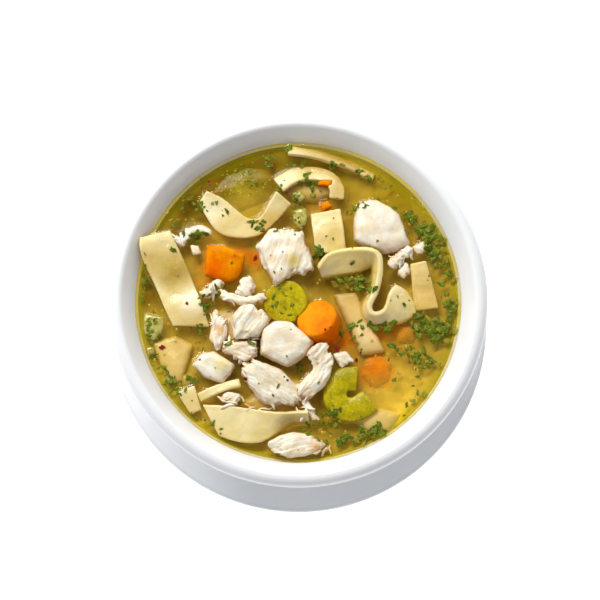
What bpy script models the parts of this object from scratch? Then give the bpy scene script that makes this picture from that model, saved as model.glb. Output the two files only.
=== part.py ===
"""Chicken noodle soup in a white soup bowl, standing on its round saucer.

Lengths in this script are millimetres, and new_object turns them into metres.
The origin is on the bowl's axis, on the plane that the saucer's foot stands on.
Pieces of food are placed by x and y from that axis, and by their rise over the broth.
"""

import math
import random

import bmesh
import bpy
from mathutils import Matrix, Vector
from mathutils.bvhtree import BVHTree

MM = 0.001

# Dish
TURN_STEPS = 44
RIM_RADIUS = 85.0
RIM_HEIGHT = 78.0
LIP_ROUND = 4.2
WALL_THICKNESS = 4.6
BOWL_FLOOR = 13.2
BOWL_FOOT_RADIUS = 39.5
FOOT_RING_WIDTH = 4.0
SAUCER_RADIUS = 90.0
SAUCER_HEIGHT = 13.4
SAUCER_THICKNESS = 2.7
SAUCER_WELL_RADIUS = 46.0
SAUCER_LIP_ROUND = 1.3
SAUCER_FOOT_RADIUS = 51.5
SAUCER_FOOT_HEIGHT = 1.9
FOOT_STEP = 1.0

# Contents
BROTH_LEVEL = 69.5
BROTH_RADIUS = 73.0
NOODLE_WIDTH = 15.0
NOODLE_THICKNESS = 1.8
GAP = 0.35
LONG_SIDE = 6.0
SMALLEST_OVERLAP = 0.02

CERAMIC = ("white_glaze", (0.86, 0.87, 0.88), 0.12)
BROTH = ("golden_broth", (0.60, 0.40, 0.07), 0.08)
NOODLE = ("egg_noodle", (0.82, 0.66, 0.32), 0.35)
CHICKEN = ("chicken_meat", (0.84, 0.72, 0.52), 0.55)
CARROT = ("carrot", (0.85, 0.25, 0.01), 0.3)
CELERY = ("celery", (0.42, 0.34, 0.02), 0.3)
ONION = ("onion", (0.55, 0.52, 0.20), 0.2)


# ---------------------------------------------------------------- helpers


def clear_scene():
    for ob in list(bpy.data.objects):
        bpy.data.objects.remove(ob, do_unlink=True)


def material(name, colour, roughness):
    """The Principled material of that name, made on first use."""
    found = bpy.data.materials.get(name)
    if found is not None:
        return found
    made = bpy.data.materials.new(name)
    made.use_nodes = True
    shader = made.node_tree.nodes["Principled BSDF"]
    shader.inputs["Base Color"].default_value = (*colour, 1.0)
    shader.inputs["Roughness"].default_value = roughness
    shader.inputs["Metallic"].default_value = 0.0
    made.diffuse_color = (*colour, 1.0)
    return made


def new_object(name, bm, look=None):
    """Turns a bmesh in millimetres into an object in metres, with its faces pointing out."""
    bmesh.ops.recalc_face_normals(bm, faces=bm.faces)
    if bm.calc_volume(signed=True) < 0.0:
        bmesh.ops.reverse_faces(bm, faces=bm.faces)
    bmesh.ops.scale(bm, vec=(MM, MM, MM), verts=bm.verts)
    mesh = bpy.data.meshes.new(name)
    bm.to_mesh(mesh)
    bm.free()
    ob = bpy.data.objects.new(name, mesh)
    bpy.context.scene.collection.objects.link(ob)
    if look is not None:
        mesh.materials.append(material(*look))
        mesh.shade_smooth()
        mesh.set_sharp_from_angle(angle=math.radians(40))
    return ob


def curve_through(points, steps):
    """A smooth curve through the points, with steps parts between two of them."""
    knots = [Vector(p) for p in points]
    ends = [knots[0] * 2 - knots[1], *knots, knots[-1] * 2 - knots[-2]]
    curve = []
    for a, b, c, d in zip(ends, ends[1:], ends[2:], ends[3:]):
        for step in range(steps):
            t = step / steps
            curve.append(
                0.5
                * (
                    b * 2
                    + (c - a) * t
                    + (a * 2 - b * 5 + c * 4 - d) * t**2
                    + (b * 3 - a - c * 3 + d) * t**3
                )
            )
    curve.append(knots[-1])
    return curve


def arc(centre, radius, start, end, steps):
    """Points of a circle between two angles in degrees, as (radius, height)."""
    points = []
    for step in range(steps + 1):
        angle = math.radians(start + (end - start) * step / steps)
        points.append(
            (
                centre[0] + radius * math.cos(angle),
                centre[1] + radius * math.sin(angle),
            )
        )
    return points


def turned(profile):
    """A solid of revolution. The profile of (radius, height) begins and ends on the axis."""
    bm = bmesh.new()
    verts = [bm.verts.new((r, 0.0, z)) for r, z in profile]
    edges = [bm.edges.new(pair) for pair in zip(verts, verts[1:])]
    bmesh.ops.spin(
        bm,
        geom=verts + edges,
        cent=(0, 0, 0),
        axis=(0, 0, 1),
        angle=math.tau,
        steps=TURN_STEPS,
        use_merge=True,
        use_duplicate=False,
    )
    bmesh.ops.remove_doubles(bm, verts=bm.verts, dist=0.001)
    return bm


# ---------------------------------------------------------------- dish


def inner_wall():
    """The inside of the bowl from its floor's centre to its lip, as (radius, height)."""
    return [
        (0.0, BOWL_FLOOR),
        (21.0, BOWL_FLOOR + 1.0),
        (38.0, 21.0),
        (50.5, 32.0),
        (60.5, 46.0),
        (68.0, 59.5),
        (BROTH_RADIUS + GAP, BROTH_LEVEL),
        (RIM_RADIUS - LIP_ROUND - 1.9, RIM_HEIGHT - 1.1),
    ]


def set_off(profile, distance):
    """The inner points of a profile, moved to its right by a distance."""
    moved = []
    for before, here, after in zip(profile, profile[1:], profile[2:]):
        along = Vector(after) - Vector(before)
        across = Vector((along.y, -along.x)).normalized() * distance
        moved.append((here[0] + across.x, here[1] + across.y))
    return moved


def foot_ring(radius, bottom, recess):
    """A foot ring's outline from its outer side to the recess inside it."""
    inside = radius - FOOT_RING_WIDTH
    return [
        (radius, bottom + FOOT_STEP),
        (radius - FOOT_STEP / 2, bottom),
        (inside, bottom),
        (inside - FOOT_STEP, recess),
        (0.0, recess),
    ]


def build_bowl():
    lip_centre = (RIM_RADIUS - LIP_ROUND, RIM_HEIGHT - LIP_ROUND)
    lip = arc(lip_centre, LIP_ROUND, 98, -38, 5)
    wall = set_off(inner_wall()[1:], WALL_THICKNESS)[::-1]
    neck = [(BOWL_FOOT_RADIUS + 0.8, BOWL_FLOOR - 1.0)]
    foot_bottom = SAUCER_FOOT_HEIGHT + SAUCER_THICKNESS + GAP
    foot = foot_ring(BOWL_FOOT_RADIUS, foot_bottom, BOWL_FLOOR - WALL_THICKNESS)
    return new_object("bowl", turned(inner_wall() + lip + wall + neck + foot), CERAMIC)


def build_saucer():
    well_top = SAUCER_FOOT_HEIGHT + SAUCER_THICKNESS
    lip_centre = (SAUCER_RADIUS - SAUCER_LIP_ROUND, SAUCER_HEIGHT - SAUCER_LIP_ROUND)
    flange = [
        (SAUCER_WELL_RADIUS, well_top),
        (54.0, well_top + 0.9),
        (66.0, well_top + 2.8),
        (78.0, well_top + 5.4),
        (87.0, SAUCER_HEIGHT - 0.6),
    ]
    lip = arc(lip_centre, SAUCER_LIP_ROUND, 90, -60, 3)
    underside = set_off(flange, SAUCER_THICKNESS)[:0:-1]
    foot = foot_ring(SAUCER_FOOT_RADIUS, 0.0, SAUCER_FOOT_HEIGHT)
    profile = [(0.0, well_top)] + flange + lip + underside + foot
    return new_object("saucer", turned(profile), CERAMIC)


def build_broth():
    """The broth up to its level, a gap inside the bowl all round."""
    side = [(0.0, BOWL_FLOOR + GAP)] + set_off(inner_wall(), -GAP)[:-1]
    profile = side + [(BROTH_RADIUS, BROTH_LEVEL), (0.0, BROTH_LEVEL)]
    bm = turned(profile)
    merge_flat_faces(bm)
    return new_object("broth", bm, BROTH)


def merge_flat_faces(bm):
    bmesh.ops.dissolve_limit(
        bm, angle_limit=math.radians(0.2), verts=bm.verts, edges=bm.edges
    )


def build_free_space():
    """What the inside of the bowl leaves free, a gap off the wall and open above the rim."""
    side = [(0.0, BOWL_FLOOR + GAP)] + set_off(inner_wall(), -GAP)
    lip_radius, lip_height = inner_wall()[-1]
    mouth = [(lip_radius - GAP, lip_height + GAP), (lip_radius, RIM_HEIGHT * 1.2)]
    return new_object("free_space", turned(side + mouth + [(0.0, RIM_HEIGHT * 1.2)]))


# ---------------------------------------------------------------- shapes of food


def sweep(path, width, thickness, sides=4, steps=3, end_width=None, grow=0.0):
    """A strip along a smooth path.

    Each point of the path is (x, y, rise, lean). Lean is in degrees and lifts the strip's
    left edge, seen along the path. A strip of 4 sides is flat with square edges, and one
    of more sides is rounded.
    """
    spots = curve_of_four(path, steps)
    last = len(spots) - 1
    end_width = width if end_width is None else end_width
    bm = bmesh.new()
    rings = []
    for i, (place, lean) in enumerate(spots):
        along = spots[min(i + 1, last)][0] - spots[max(i - 1, 0)][0]
        along.normalize()
        left = Vector((0, 0, 1)).cross(along).normalized()
        left.rotate(Matrix.Rotation(-math.radians(lean), 3, along))
        up = along.cross(left)
        half_width = (width + (end_width - width) * i / last) / 2 + grow
        half_thickness = thickness / 2 + grow
        shift = along * grow * ((i == last) - (i == 0))
        ring = []
        for corner in section(sides):
            offset = left * corner[0] * half_width + up * corner[1] * half_thickness
            ring.append(bm.verts.new(place + offset + shift))
        rings.append(ring)
    join_rings(bm, rings)
    return bm


def fold(edges, thickness, steps=3, grow=0.0):
    """A flat strip between two smooth edges, given as pairs of (x, y, rise)."""
    lefts = curve_through([over_broth(left) for left, _ in edges], steps)
    rights = curve_through([over_broth(right) for _, right in edges], steps)
    middles = [(left + right) / 2 for left, right in zip(lefts, rights)]
    last = len(middles) - 1
    bm = bmesh.new()
    rings = []
    for i, (left, right) in enumerate(zip(lefts, rights)):
        along = (middles[min(i + 1, last)] - middles[max(i - 1, 0)]).normalized()
        across = (left - right).normalized()
        up = along.cross(across).normalized() * (thickness / 2 + grow)
        shift = along * grow * ((i == last) - (i == 0))
        outer = [left + across * grow, right - across * grow]
        ring = [outer[0] + up, outer[1] + up, outer[1] - up, outer[0] - up]
        rings.append([bm.verts.new(corner + shift) for corner in ring])
    join_rings(bm, rings)
    return bm


def over_broth(point):
    x, y, rise = point
    return (x, y, BROTH_LEVEL + rise)


def curve_of_four(path, steps):
    """Smooths x, y, rise and lean along a path, and lifts it to the broth's level."""
    places = curve_through([over_broth(point[:3]) for point in path], steps)
    leans = curve_through([(lean, 0.0, 0.0) for *_, lean in path], steps)
    return [(place, lean.x) for place, lean in zip(places, leans)]


def section(sides):
    """The corners of a strip's cross-section, in half widths and half thicknesses."""
    if sides == 4:
        return [(1, 1), (-1, 1), (-1, -1), (1, -1)]
    turns = [math.tau * (i + 0.5) / sides for i in range(sides)]
    return [(math.cos(a), math.sin(a)) for a in turns]


def join_rings(bm, rings):
    """Joins rings of equally many vertices into a closed skin, with flat ends.

    Its sides are triangles, so that a grown copy follows it all over.
    """
    count = len(rings[0])
    for lower, upper in zip(rings, rings[1:]):
        for i in range(count):
            j = (i + 1) % count
            bm.faces.new((lower[i], lower[j], upper[j]))
            bm.faces.new((lower[i], upper[j], upper[i]))
    bm.faces.new(rings[0][::-1])
    bm.faces.new(rings[-1])


def chunk(corners, rise, depth, tilt=(0.0, 0.0), rough=0.35, seed=1, grow=0.0):
    """A lump with rounded edges over an outline of corners (x, y).

    It reaches from rise over the broth to depth under it. Tilt is the slope of its top
    along x and y, and rough is how far its skin strays.
    """
    rng = random.Random(seed)
    centre = sum((Vector(c) for c in corners), Vector((0, 0))) / len(corners)
    outline = []
    for here, after in zip(corners, corners[1:] + corners[:1]):
        here, after = Vector(here), Vector(after)
        outline.append(here.lerp(centre, 0.04))
        if (after - here).length > LONG_SIDE:
            outline.append(here.lerp(after, 0.5))
    levels = [(-depth, 0.7), (rise * 0.3, 1.0), (rise * 0.8, 0.9), (rise, 0.64)]
    bm = bmesh.new()
    rings = []
    for height, size in levels:
        share = (height + depth) / (rise + depth)
        ring = []
        for spot in outline:
            out = spot - centre
            reach = out.length * size + rng.uniform(-rough, rough) + grow
            flat = centre + out.normalized() * reach
            slope = (flat - centre).dot(Vector(tilt)) * share
            lift = grow if height == rise else -grow if height == -depth else 0.0
            jitter = rng.uniform(-rough, rough) * 0.6
            z = BROTH_LEVEL + height + slope + lift + jitter
            ring.append(bm.verts.new((flat.x, flat.y, z)))
        rings.append(ring)
    join_rings(bm, rings)
    return bm


def slice_of_root(centre, radius, thickness, rise, lean, towards, grow=0.0):
    """A round slice whose top's centre is at rise, leaning by an angle towards a direction."""
    bm = bmesh.new()
    bmesh.ops.create_cone(
        bm,
        cap_ends=True,
        segments=18,
        radius1=radius * 0.94 + grow,
        radius2=radius + grow,
        depth=thickness + 2 * grow,
    )
    rims = [e for e in bm.edges if abs(e.verts[0].co.z - e.verts[1].co.z) < 0.01]
    bmesh.ops.bevel(bm, geom=rims, offset=0.7, segments=1, affect="EDGES")
    axis = Matrix.Rotation(math.radians(towards), 4, "Z") @ Vector((0, 1, 0))
    place = (
        Matrix.Translation((centre[0], centre[1], BROTH_LEVEL + rise))
        @ Matrix.Rotation(math.radians(lean), 4, axis)
        @ Matrix.Translation((0, 0, -thickness / 2))
    )
    bmesh.ops.transform(bm, matrix=place, verts=bm.verts)
    return bm


# ---------------------------------------------------------------- cutting


def overlaps(ob, other):
    """True if the two skins cross."""
    trees = []
    for each in (ob, other):
        bm = bmesh.new()
        bm.from_mesh(each.data)
        trees.append(BVHTree.FromBMesh(bm))
        bm.free()
    return bool(trees[0].overlap(trees[1]))


def combine(ob, other, operation):
    """Cuts or bounds one object by another, for good, and keeps its largest body."""
    modifier = ob.modifiers.new(operation.lower(), "BOOLEAN")
    modifier.operation = operation
    modifier.solver = "EXACT"
    modifier.object = other
    evaluated = ob.evaluated_get(bpy.context.evaluated_depsgraph_get())
    bm = bmesh.new()
    bm.from_mesh(evaluated.to_mesh())
    evaluated.to_mesh_clear()
    ob.modifiers.remove(modifier)
    bmesh.ops.remove_doubles(bm, verts=bm.verts, dist=SMALLEST_OVERLAP * MM)
    bmesh.ops.dissolve_degenerate(bm, edges=bm.edges, dist=SMALLEST_OVERLAP * MM)
    keep_largest_body(bm)
    bm.to_mesh(ob.data)
    bm.free()


def keep_largest_body(bm):
    bodies = []
    unseen = set(bm.verts)
    while unseen:
        body = set()
        edge = [unseen.pop()]
        while edge:
            vert = edge.pop()
            body.add(vert)
            for link in vert.link_edges:
                near = link.other_vert(vert)
                if near in unseen:
                    unseen.remove(near)
                    edge.append(near)
        bodies.append(body)
    bodies.sort(key=spread)
    for body in bodies[:-1]:
        bmesh.ops.delete(bm, geom=list(body), context="VERTS")


def spread(verts):
    """The size of the box around some vertices."""
    size = 1.0
    for axis in range(3):
        along = [v.co[axis] for v in verts]
        size *= max(along) - min(along)
    return size


# ---------------------------------------------------------------- food


class Serving:
    """The pieces of food, from the ones that lie on top to the ones they press into."""

    def __init__(self):
        self.pieces = []

    def add(self, name, look, shape, *args, **sizes):
        body = new_object(name, shape(*args, **sizes), look)
        clearance = new_object(name + "_clearance", shape(*args, grow=GAP, **sizes))
        self.pieces.append((body, clearance))

    def settle(self, broth, free_space):
        """Cuts each piece round those above it, the wall round all, and the broth last."""
        for i, (body, _) in enumerate(self.pieces):
            for _, clearance in self.pieces[:i]:
                if overlaps(body, clearance):
                    combine(body, clearance, "DIFFERENCE")
            if overlaps(body, free_space):
                combine(body, free_space, "INTERSECT")
        for _, clearance in self.pieces:
            combine(broth, clearance, "DIFFERENCE")
            bpy.data.objects.remove(clearance, do_unlink=True)
        bpy.data.objects.remove(free_space, do_unlink=True)


def noodle(serving, name, path, width=NOODLE_WIDTH, **sizes):
    """A flat strip of egg noodle."""
    serving.add("noodle_" + name, NOODLE, sweep, path, width, NOODLE_THICKNESS, **sizes)


def folded_noodle(serving, name, edges):
    """A strip of egg noodle that twists, given by its two edges."""
    serving.add("noodle_" + name, NOODLE, fold, edges, NOODLE_THICKNESS)


def add_upper_noodles(serving):
    curl = [
        ((9.0, 14.8, 3.4), (10.9, 11.0, -0.8)),
        ((14.1, 20.4, 5.4), (16.9, 12.1, -0.6)),
        ((26.7, 22.6, 6.6), (27.1, 13.8, -0.8)),
        ((35.4, 20.8, 6.8), (32.2, 15.6, -3.0)),
        ((37.2, 14.0, 6.2), (33.4, 13.2, -4.5)),
        ((35.5, 4.2, 5.8), (32.0, 4.2, -5.0)),
        ((32.2, -3.0, 5.6), (28.3, -2.9, -4.5)),
        ((33.8, -7.0, 5.4), (30.2, -9.6, -3.5)),
        ((38.7, -5.0, 4.4), (40.3, -11.6, -1.6)),
        ((41.0, 2.4, 3.4), (52.4, -6.0, -0.5)),
        ((43.8, 6.4, 2.2), (48.6, 4.2, 0.8)),
    ]
    folded_noodle(serving, "curl", curl)
    against_wall = [
        ((-58.0, 31.4, 2.6), (-71.2, 27.4, 5.4)),
        ((-56.8, 28.4, 3.2), (-71.4, 23.9, 5.9)),
        ((-53.3, 21.2, 2.0), (-69.6, 17.2, 4.2)),
        ((-48.0, 9.3, 0.7), (-64.2, 6.2, 1.2)),
        ((-43.8, -1.5, 1.9), (-60.0, -3.8, 1.9)),
        ((-39.9, -12.2, 0.5), (-56.1, -11.6, 0.3)),
    ]
    folded_noodle(serving, "against_wall", against_wall)
    boat = [
        ((-41.5, 49.6, 3.8), (-44.9, 44.6, 1.8)),
        ((-35.0, 46.9, 2.0), (-40.8, 36.8, 2.2)),
        ((-28.3, 41.6, 0.9), (-35.6, 30.6, 1.2)),
        ((-23.4, 37.9, 0.5), (-26.7, 28.8, 0.2)),
        ((-18.0, 37.7, 0.6), (-18.0, 30.0, -0.2)),
        ((-14.2, 42.3, 2.6), (-10.6, 36.0, 0.2)),
        ((-10.0, 49.3, 4.6), (-3.5, 44.4, 1.6)),
    ]
    folded_noodle(serving, "boat", boat)
    broad_fold = [
        ((-42.4, -47.8, 1.0), (-35.0, -61.4, 0.8)),
        ((-29.9, -48.6, 1.6), (-26.5, -64.2, 0.8)),
        ((-19.2, -50.2, 2.4), (-16.5, -64.4, 0.8)),
        ((-8.6, -51.5, 3.6), (-9.0, -59.8, -0.5)),
        ((-2.0, -51.5, 4.6), (-2.2, -56.0, -1.5)),
        ((4.2, -51.3, 4.4), (4.8, -55.4, -1.2)),
    ]
    folded_noodle(serving, "broad_fold", broad_fold)


def add_lower_noodles(serving):
    square = [(12.4, 40.6, 1.2, -8), (13.6, 32.0, 2.4, -4), (14.8, 21.5, 1.6, 2)]
    noodle(serving, "square", square, width=13.6)
    short_end = [(-50.0, -40.8, 1.2, 10), (-48.0, -45.5, 1.0, 4), (-45.4, -50.8, 0.4, 0)]
    noodle(serving, "short_end", short_end, width=8.0, end_width=5.0)
    thin_strip = [(-44.0, -44.6, 0.8, 0), (-35.0, -40.4, 1.6, 10), (-26.0, -38.0, 1.8, 14)]
    noodle(serving, "thin_strip", thin_strip, width=3.8)
    far_curl = [
        (-9.0, 53.0, 1.0, 12),
        (-2.0, 57.4, 0.7, 20),
        (6.0, 58.8, 0.2, 24),
        (13.6, 57.0, 0.3, 24),
        (17.4, 52.0, 0.8, 20),
        (17.4, 46.8, 1.2, 10),
    ]
    noodle(serving, "far_curl", far_curl, width=7.6, end_width=6.4)
    far_edge = [
        (-4.6, 69.4, 0.5, 30),
        (6.8, 68.0, 0.3, 34),
        (17.6, 64.6, 0.0, 38),
        (27.0, 61.0, -0.4, 40),
        (34.2, 57.0, -0.9, 40),
    ]
    noodle(serving, "far_edge", far_edge, width=4.6)
    right_sunk = [(54.2, 17.2, 0.6, -8), (56.0, 6.6, 0.0, -4), (57.6, -4.2, -0.9, 0)]
    noodle(serving, "right_sunk", right_sunk, width=7.0, end_width=11.0)


def meat(serving, name, corners, rise, depth, seed, **sizes):
    """A lump of chicken."""
    serving.add(
        "chicken_" + name, CHICKEN, chunk, corners, rise, depth, seed=seed, **sizes
    )


def shred(serving, name, path, width, thickness):
    """A torn strip of chicken, which lies level across."""
    level = [(*point, 0.0) for point in path]
    name = "chicken_" + name
    serving.add(name, CHICKEN, sweep, level, width, thickness, sides=5, steps=2)


def add_chicken_lumps(serving):
    cube = [
        (-15.5, -14.2),
        (-10.9, -10.7),
        (-3.5, -11.2),
        (6.4, -19.5),
        (2.5, -25.6),
        (-4.9, -30.6),
        (-16.4, -24.8),
    ]
    meat(serving, "cube", cube, 6.4, 4.0, seed=3, tilt=(0.06, 0.10))
    cluster = [
        (-26.4, -3.4),
        (-18.3, -4.0),
        (-13.0, -8.5),
        (-18.0, -17.6),
        (-28.0, -18.0),
        (-29.6, -8.0),
    ]
    meat(serving, "cluster", cluster, 6.6, 3.5, seed=5, tilt=(-0.08, 0.05))
    bent = [(8.4, -22.6, 3.6), (11.2, -30.0, 3.4), (8.2, -37.2, 3.0), (1.6, -42.6, 2.2)]
    shred(serving, "bent", bent, 8.6, 6.0)
    broad = [
        (-25.0, -32.4),
        (-19.0, -28.2),
        (-8.6, -32.4),
        (0.6, -40.0),
        (0.4, -46.6),
        (-14.8, -47.6),
        (-21.1, -41.0),
    ]
    meat(serving, "broad", broad, 5.6, 4.0, seed=7, tilt=(-0.04, 0.10))
    smooth = [
        (27.1, 43.6),
        (35.9, 45.6),
        (45.4, 39.0),
        (50.0, 25.6),
        (38.2, 20.8),
        (25.4, 27.0),
    ]
    meat(serving, "smooth", smooth, 6.2, 5.0, seed=11, tilt=(-0.08, 0.04), rough=0.25)
    ridge = [
        (-18.6, 24.2),
        (-13.7, 31.8),
        (2.0, 30.6),
        (7.0, 13.6),
        (-2.0, 12.4),
        (-10.6, 6.4),
    ]
    meat(serving, "ridge", ridge, 5.6, 4.5, seed=13, tilt=(0.02, 0.06))
    left_low = [
        (-46.8, -29.8),
        (-42.9, -25.4),
        (-37.8, -24.2),
        (-28.4, -30.2),
        (-34.1, -38.0),
        (-41.5, -35.0),
    ]
    meat(serving, "left_low", left_low, 4.4, 3.5, seed=17, tilt=(0.05, 0.08))
    near_edge = [
        (-13.2, -64.6),
        (-4.0, -60.6),
        (4.9, -61.8),
        (11.0, -66.4),
        (2.8, -70.8),
        (-7.6, -70.4),
    ]
    meat(serving, "near_edge", near_edge, 3.8, 3.0, seed=19, tilt=(0.0, 0.05))


def add_chicken_scraps(serving):
    under_cluster = [
        (-34.0, -19.4),
        (-18.6, -19.4),
        (-19.0, -25.6),
        (-23.9, -28.5),
        (-30.8, -25.0),
    ]
    meat(serving, "under_cluster", under_cluster, 4.0, 3.0, seed=23)
    flank = [(-38.0, -6.0), (-31.6, -11.0), (-32.0, -17.6), (-36.0, -23.2), (-39.2, -17.6)]
    meat(serving, "flank", flank, 3.6, 3.0, seed=29)
    pale_bit = [(16.0, -25.2), (21.6, -23.7), (24.6, -27.4), (19.2, -31.0)]
    meat(serving, "pale_bit", pale_bit, 2.6, 2.5, seed=31, rough=0.2)
    low_bit = [(-34.6, -44.6), (-30.8, -42.0), (-25.2, -43.4), (-28.6, -47.4)]
    meat(serving, "low_bit", low_bit, 2.8, 2.5, seed=37, rough=0.2)
    hook = [(-25.4, 9.4), (-21.0, 10.4), (-19.4, 6.2), (-22.0, 1.4), (-27.6, 2.4)]
    meat(serving, "hook", hook, 3.6, 2.5, seed=41, rough=0.3)
    right_wedge = [(44.4, 12.4), (49.0, 17.6), (50.2, 13.4), (47.4, 9.8)]
    meat(serving, "right_wedge", right_wedge, 1.8, 2.5, seed=43, rough=0.2)
    speck = [(-48.4, 24.8), (-44.8, 25.2), (-44.4, 21.2), (-47.6, 20.8)]
    meat(serving, "speck", speck, 1.6, 2.0, seed=47, rough=0.15)
    right_strip = [(41.8, 15.6, 1.8), (46.0, 19.4, 2.6), (50.4, 23.2, 1.8)]
    shred(serving, "right_strip", right_strip, 4.2, 3.4)
    right_tip = [(53.0, 22.4, 1.0), (57.4, 25.2, 0.8)]
    shred(serving, "right_tip", right_tip, 3.6, 2.8)
    upper_arc = [(-53.4, 25.6, 0.8), (-50.0, 30.4, 1.4), (-45.4, 32.6, 1.2), (-41.0, 30.4, 0.8)]
    shred(serving, "upper_arc", upper_arc, 4.0, 2.8)
    long_strip = [(-34.4, 2.8, 0.8), (-28.4, 0.0, 1.8), (-22.4, -0.4, 2.0), (-15.6, 1.4, 1.2)]
    shred(serving, "long_strip", long_strip, 3.8, 3.2)
    green_strip = [(-42.4, 2.0, 0.8), (-38.6, 5.4, 1.4), (-35.4, 9.0, 0.8)]
    shred(serving, "green_strip", green_strip, 4.2, 2.6)
    thin_strip = [(2.6, -45.8, 1.2), (5.2, -49.6, 1.6), (7.2, -54.0, 0.8)]
    shred(serving, "thin_strip", thin_strip, 2.8, 2.2)


def add_carrots(serving):
    serving.add(
        "carrot_round",
        CARROT,
        slice_of_root,
        centre=(8.0, -9.0),
        radius=9.7,
        thickness=13.0,
        rise=4.7,
        lean=28.0,
        towards=135.0,
    )
    block = [
        (-41.5, 25.0),
        (-34.1, 25.6),
        (-23.8, 20.6),
        (-25.3, 11.8),
        (-30.4, 7.2),
        (-42.6, 11.0),
    ]
    tilt = (-0.04, 0.08)
    serving.add("carrot_block", CARROT, chunk, block, 3.8, 4.0, tilt=tilt, rough=0.12, seed=53)
    sliver = [(7.8, 53.2), (9.6, 55.4), (15.6, 55.2), (15.2, 52.4)]
    serving.add("carrot_sliver", CARROT, chunk, sliver, 2.4, 1.6, rough=0.1, seed=59)
    nub = [(9.8, 44.4), (13.2, 46.0), (15.6, 43.2), (11.0, 41.0)]
    serving.add("carrot_nub", CARROT, chunk, nub, 2.2, 2.0, rough=0.1, seed=61)


def add_celery(serving):
    crescent = [
        (25.8, -36.1, -0.4, 0),
        (20.0, -36.3, -0.3, 0),
        (16.0, -42.2, -0.4, 0),
        (18.8, -48.8, -0.5, 0),
        (25.8, -49.8, -0.7, 0),
        (31.6, -45.7, -0.8, 0),
    ]
    serving.add("celery_crescent", CELERY, sweep, crescent, 11.6, 6.0, sides=6, steps=2)
    serving.add(
        "celery_round",
        CELERY,
        slice_of_root,
        centre=(-5.9, -0.9),
        radius=10.3,
        thickness=4.4,
        rise=1.3,
        lean=5.0,
        towards=200.0,
    )


def add_onions(serving):
    at_wall = [(-69.2, -6.2), (-60.4, -7.7), (-60.6, -14.5), (-65.0, -19.2), (-69.8, -14.7)]
    serving.add("onion_at_wall", ONION, chunk, at_wall, 1.6, 2.5, rough=0.15, seed=67)
    flake = [(-68.2, -21.6), (-64.6, -21.2), (-64.2, -24.6), (-67.0, -25.4)]
    serving.add("onion_flake", ONION, chunk, flake, 1.0, 1.5, rough=0.1, seed=71)
    loop = [(-2.6, 41.4), (3.6, 42.8), (4.6, 36.0), (1.6, 32.0), (-2.4, 35.0)]
    serving.add("onion_loop", ONION, chunk, loop, 2.0, 2.5, rough=0.12, seed=73)
    dice = [(-3.2, 49.4), (1.4, 51.0), (3.8, 47.6), (0.0, 44.6)]
    serving.add("onion_dice", ONION, chunk, dice, 1.8, 2.0, rough=0.12, seed=79)


def main():
    clear_scene()
    build_saucer()
    build_bowl()
    broth = build_broth()
    serving = Serving()
    add_upper_noodles(serving)
    add_carrots(serving)
    add_chicken_lumps(serving)
    add_lower_noodles(serving)
    add_celery(serving)
    add_chicken_scraps(serving)
    add_onions(serving)
    serving.settle(broth, build_free_space())


main()
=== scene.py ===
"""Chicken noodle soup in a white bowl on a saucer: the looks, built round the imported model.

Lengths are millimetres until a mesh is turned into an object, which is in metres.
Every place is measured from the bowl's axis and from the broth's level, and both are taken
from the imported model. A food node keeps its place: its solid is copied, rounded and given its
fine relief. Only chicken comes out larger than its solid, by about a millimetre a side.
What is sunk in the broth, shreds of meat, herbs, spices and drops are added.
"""

import itertools
import math
import random

import bmesh
import bpy
import numpy as np
from mathutils import Matrix, Vector


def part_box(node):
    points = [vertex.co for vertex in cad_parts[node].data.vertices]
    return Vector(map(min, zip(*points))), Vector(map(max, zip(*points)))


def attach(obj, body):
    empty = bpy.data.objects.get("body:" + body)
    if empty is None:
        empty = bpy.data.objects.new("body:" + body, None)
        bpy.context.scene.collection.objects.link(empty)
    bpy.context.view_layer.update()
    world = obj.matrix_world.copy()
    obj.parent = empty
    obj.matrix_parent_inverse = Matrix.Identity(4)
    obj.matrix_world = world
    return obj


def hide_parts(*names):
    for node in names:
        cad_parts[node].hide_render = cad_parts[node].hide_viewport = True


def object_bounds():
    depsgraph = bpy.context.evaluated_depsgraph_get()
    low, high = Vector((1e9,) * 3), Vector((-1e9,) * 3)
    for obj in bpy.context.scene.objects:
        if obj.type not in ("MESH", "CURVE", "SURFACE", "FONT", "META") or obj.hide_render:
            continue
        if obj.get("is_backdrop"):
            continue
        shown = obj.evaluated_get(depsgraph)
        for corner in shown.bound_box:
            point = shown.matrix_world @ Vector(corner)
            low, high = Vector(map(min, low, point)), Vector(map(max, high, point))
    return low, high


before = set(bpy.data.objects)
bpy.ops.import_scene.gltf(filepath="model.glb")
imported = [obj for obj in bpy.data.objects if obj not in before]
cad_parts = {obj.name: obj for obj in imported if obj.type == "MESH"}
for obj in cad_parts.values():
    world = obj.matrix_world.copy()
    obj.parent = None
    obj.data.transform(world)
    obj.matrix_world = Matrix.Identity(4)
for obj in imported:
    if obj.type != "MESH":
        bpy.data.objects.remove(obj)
cad_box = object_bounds()

MM = 0.001
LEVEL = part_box("broth")[1].z / MM
BROTH_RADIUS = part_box("broth")[1].x / MM
RIM_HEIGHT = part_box("bowl")[1].z / MM

# How deep the cloudy broth's top lies, and how fast food is lost below the level
CORE_DEPTH = 3.6
FADE_DEPTH = 1.3
# Points nearer than this are one point
SAME_PLACE = 0.002
# What the chicken's mesh keeps for its material
FIBRES = "fibre_place"
FIBRES_SHOW = "fibre_show"
# Flat sides round the bowl and the saucer
DISH_STEPS = 192

# ------------ camera, light, stage

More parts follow.
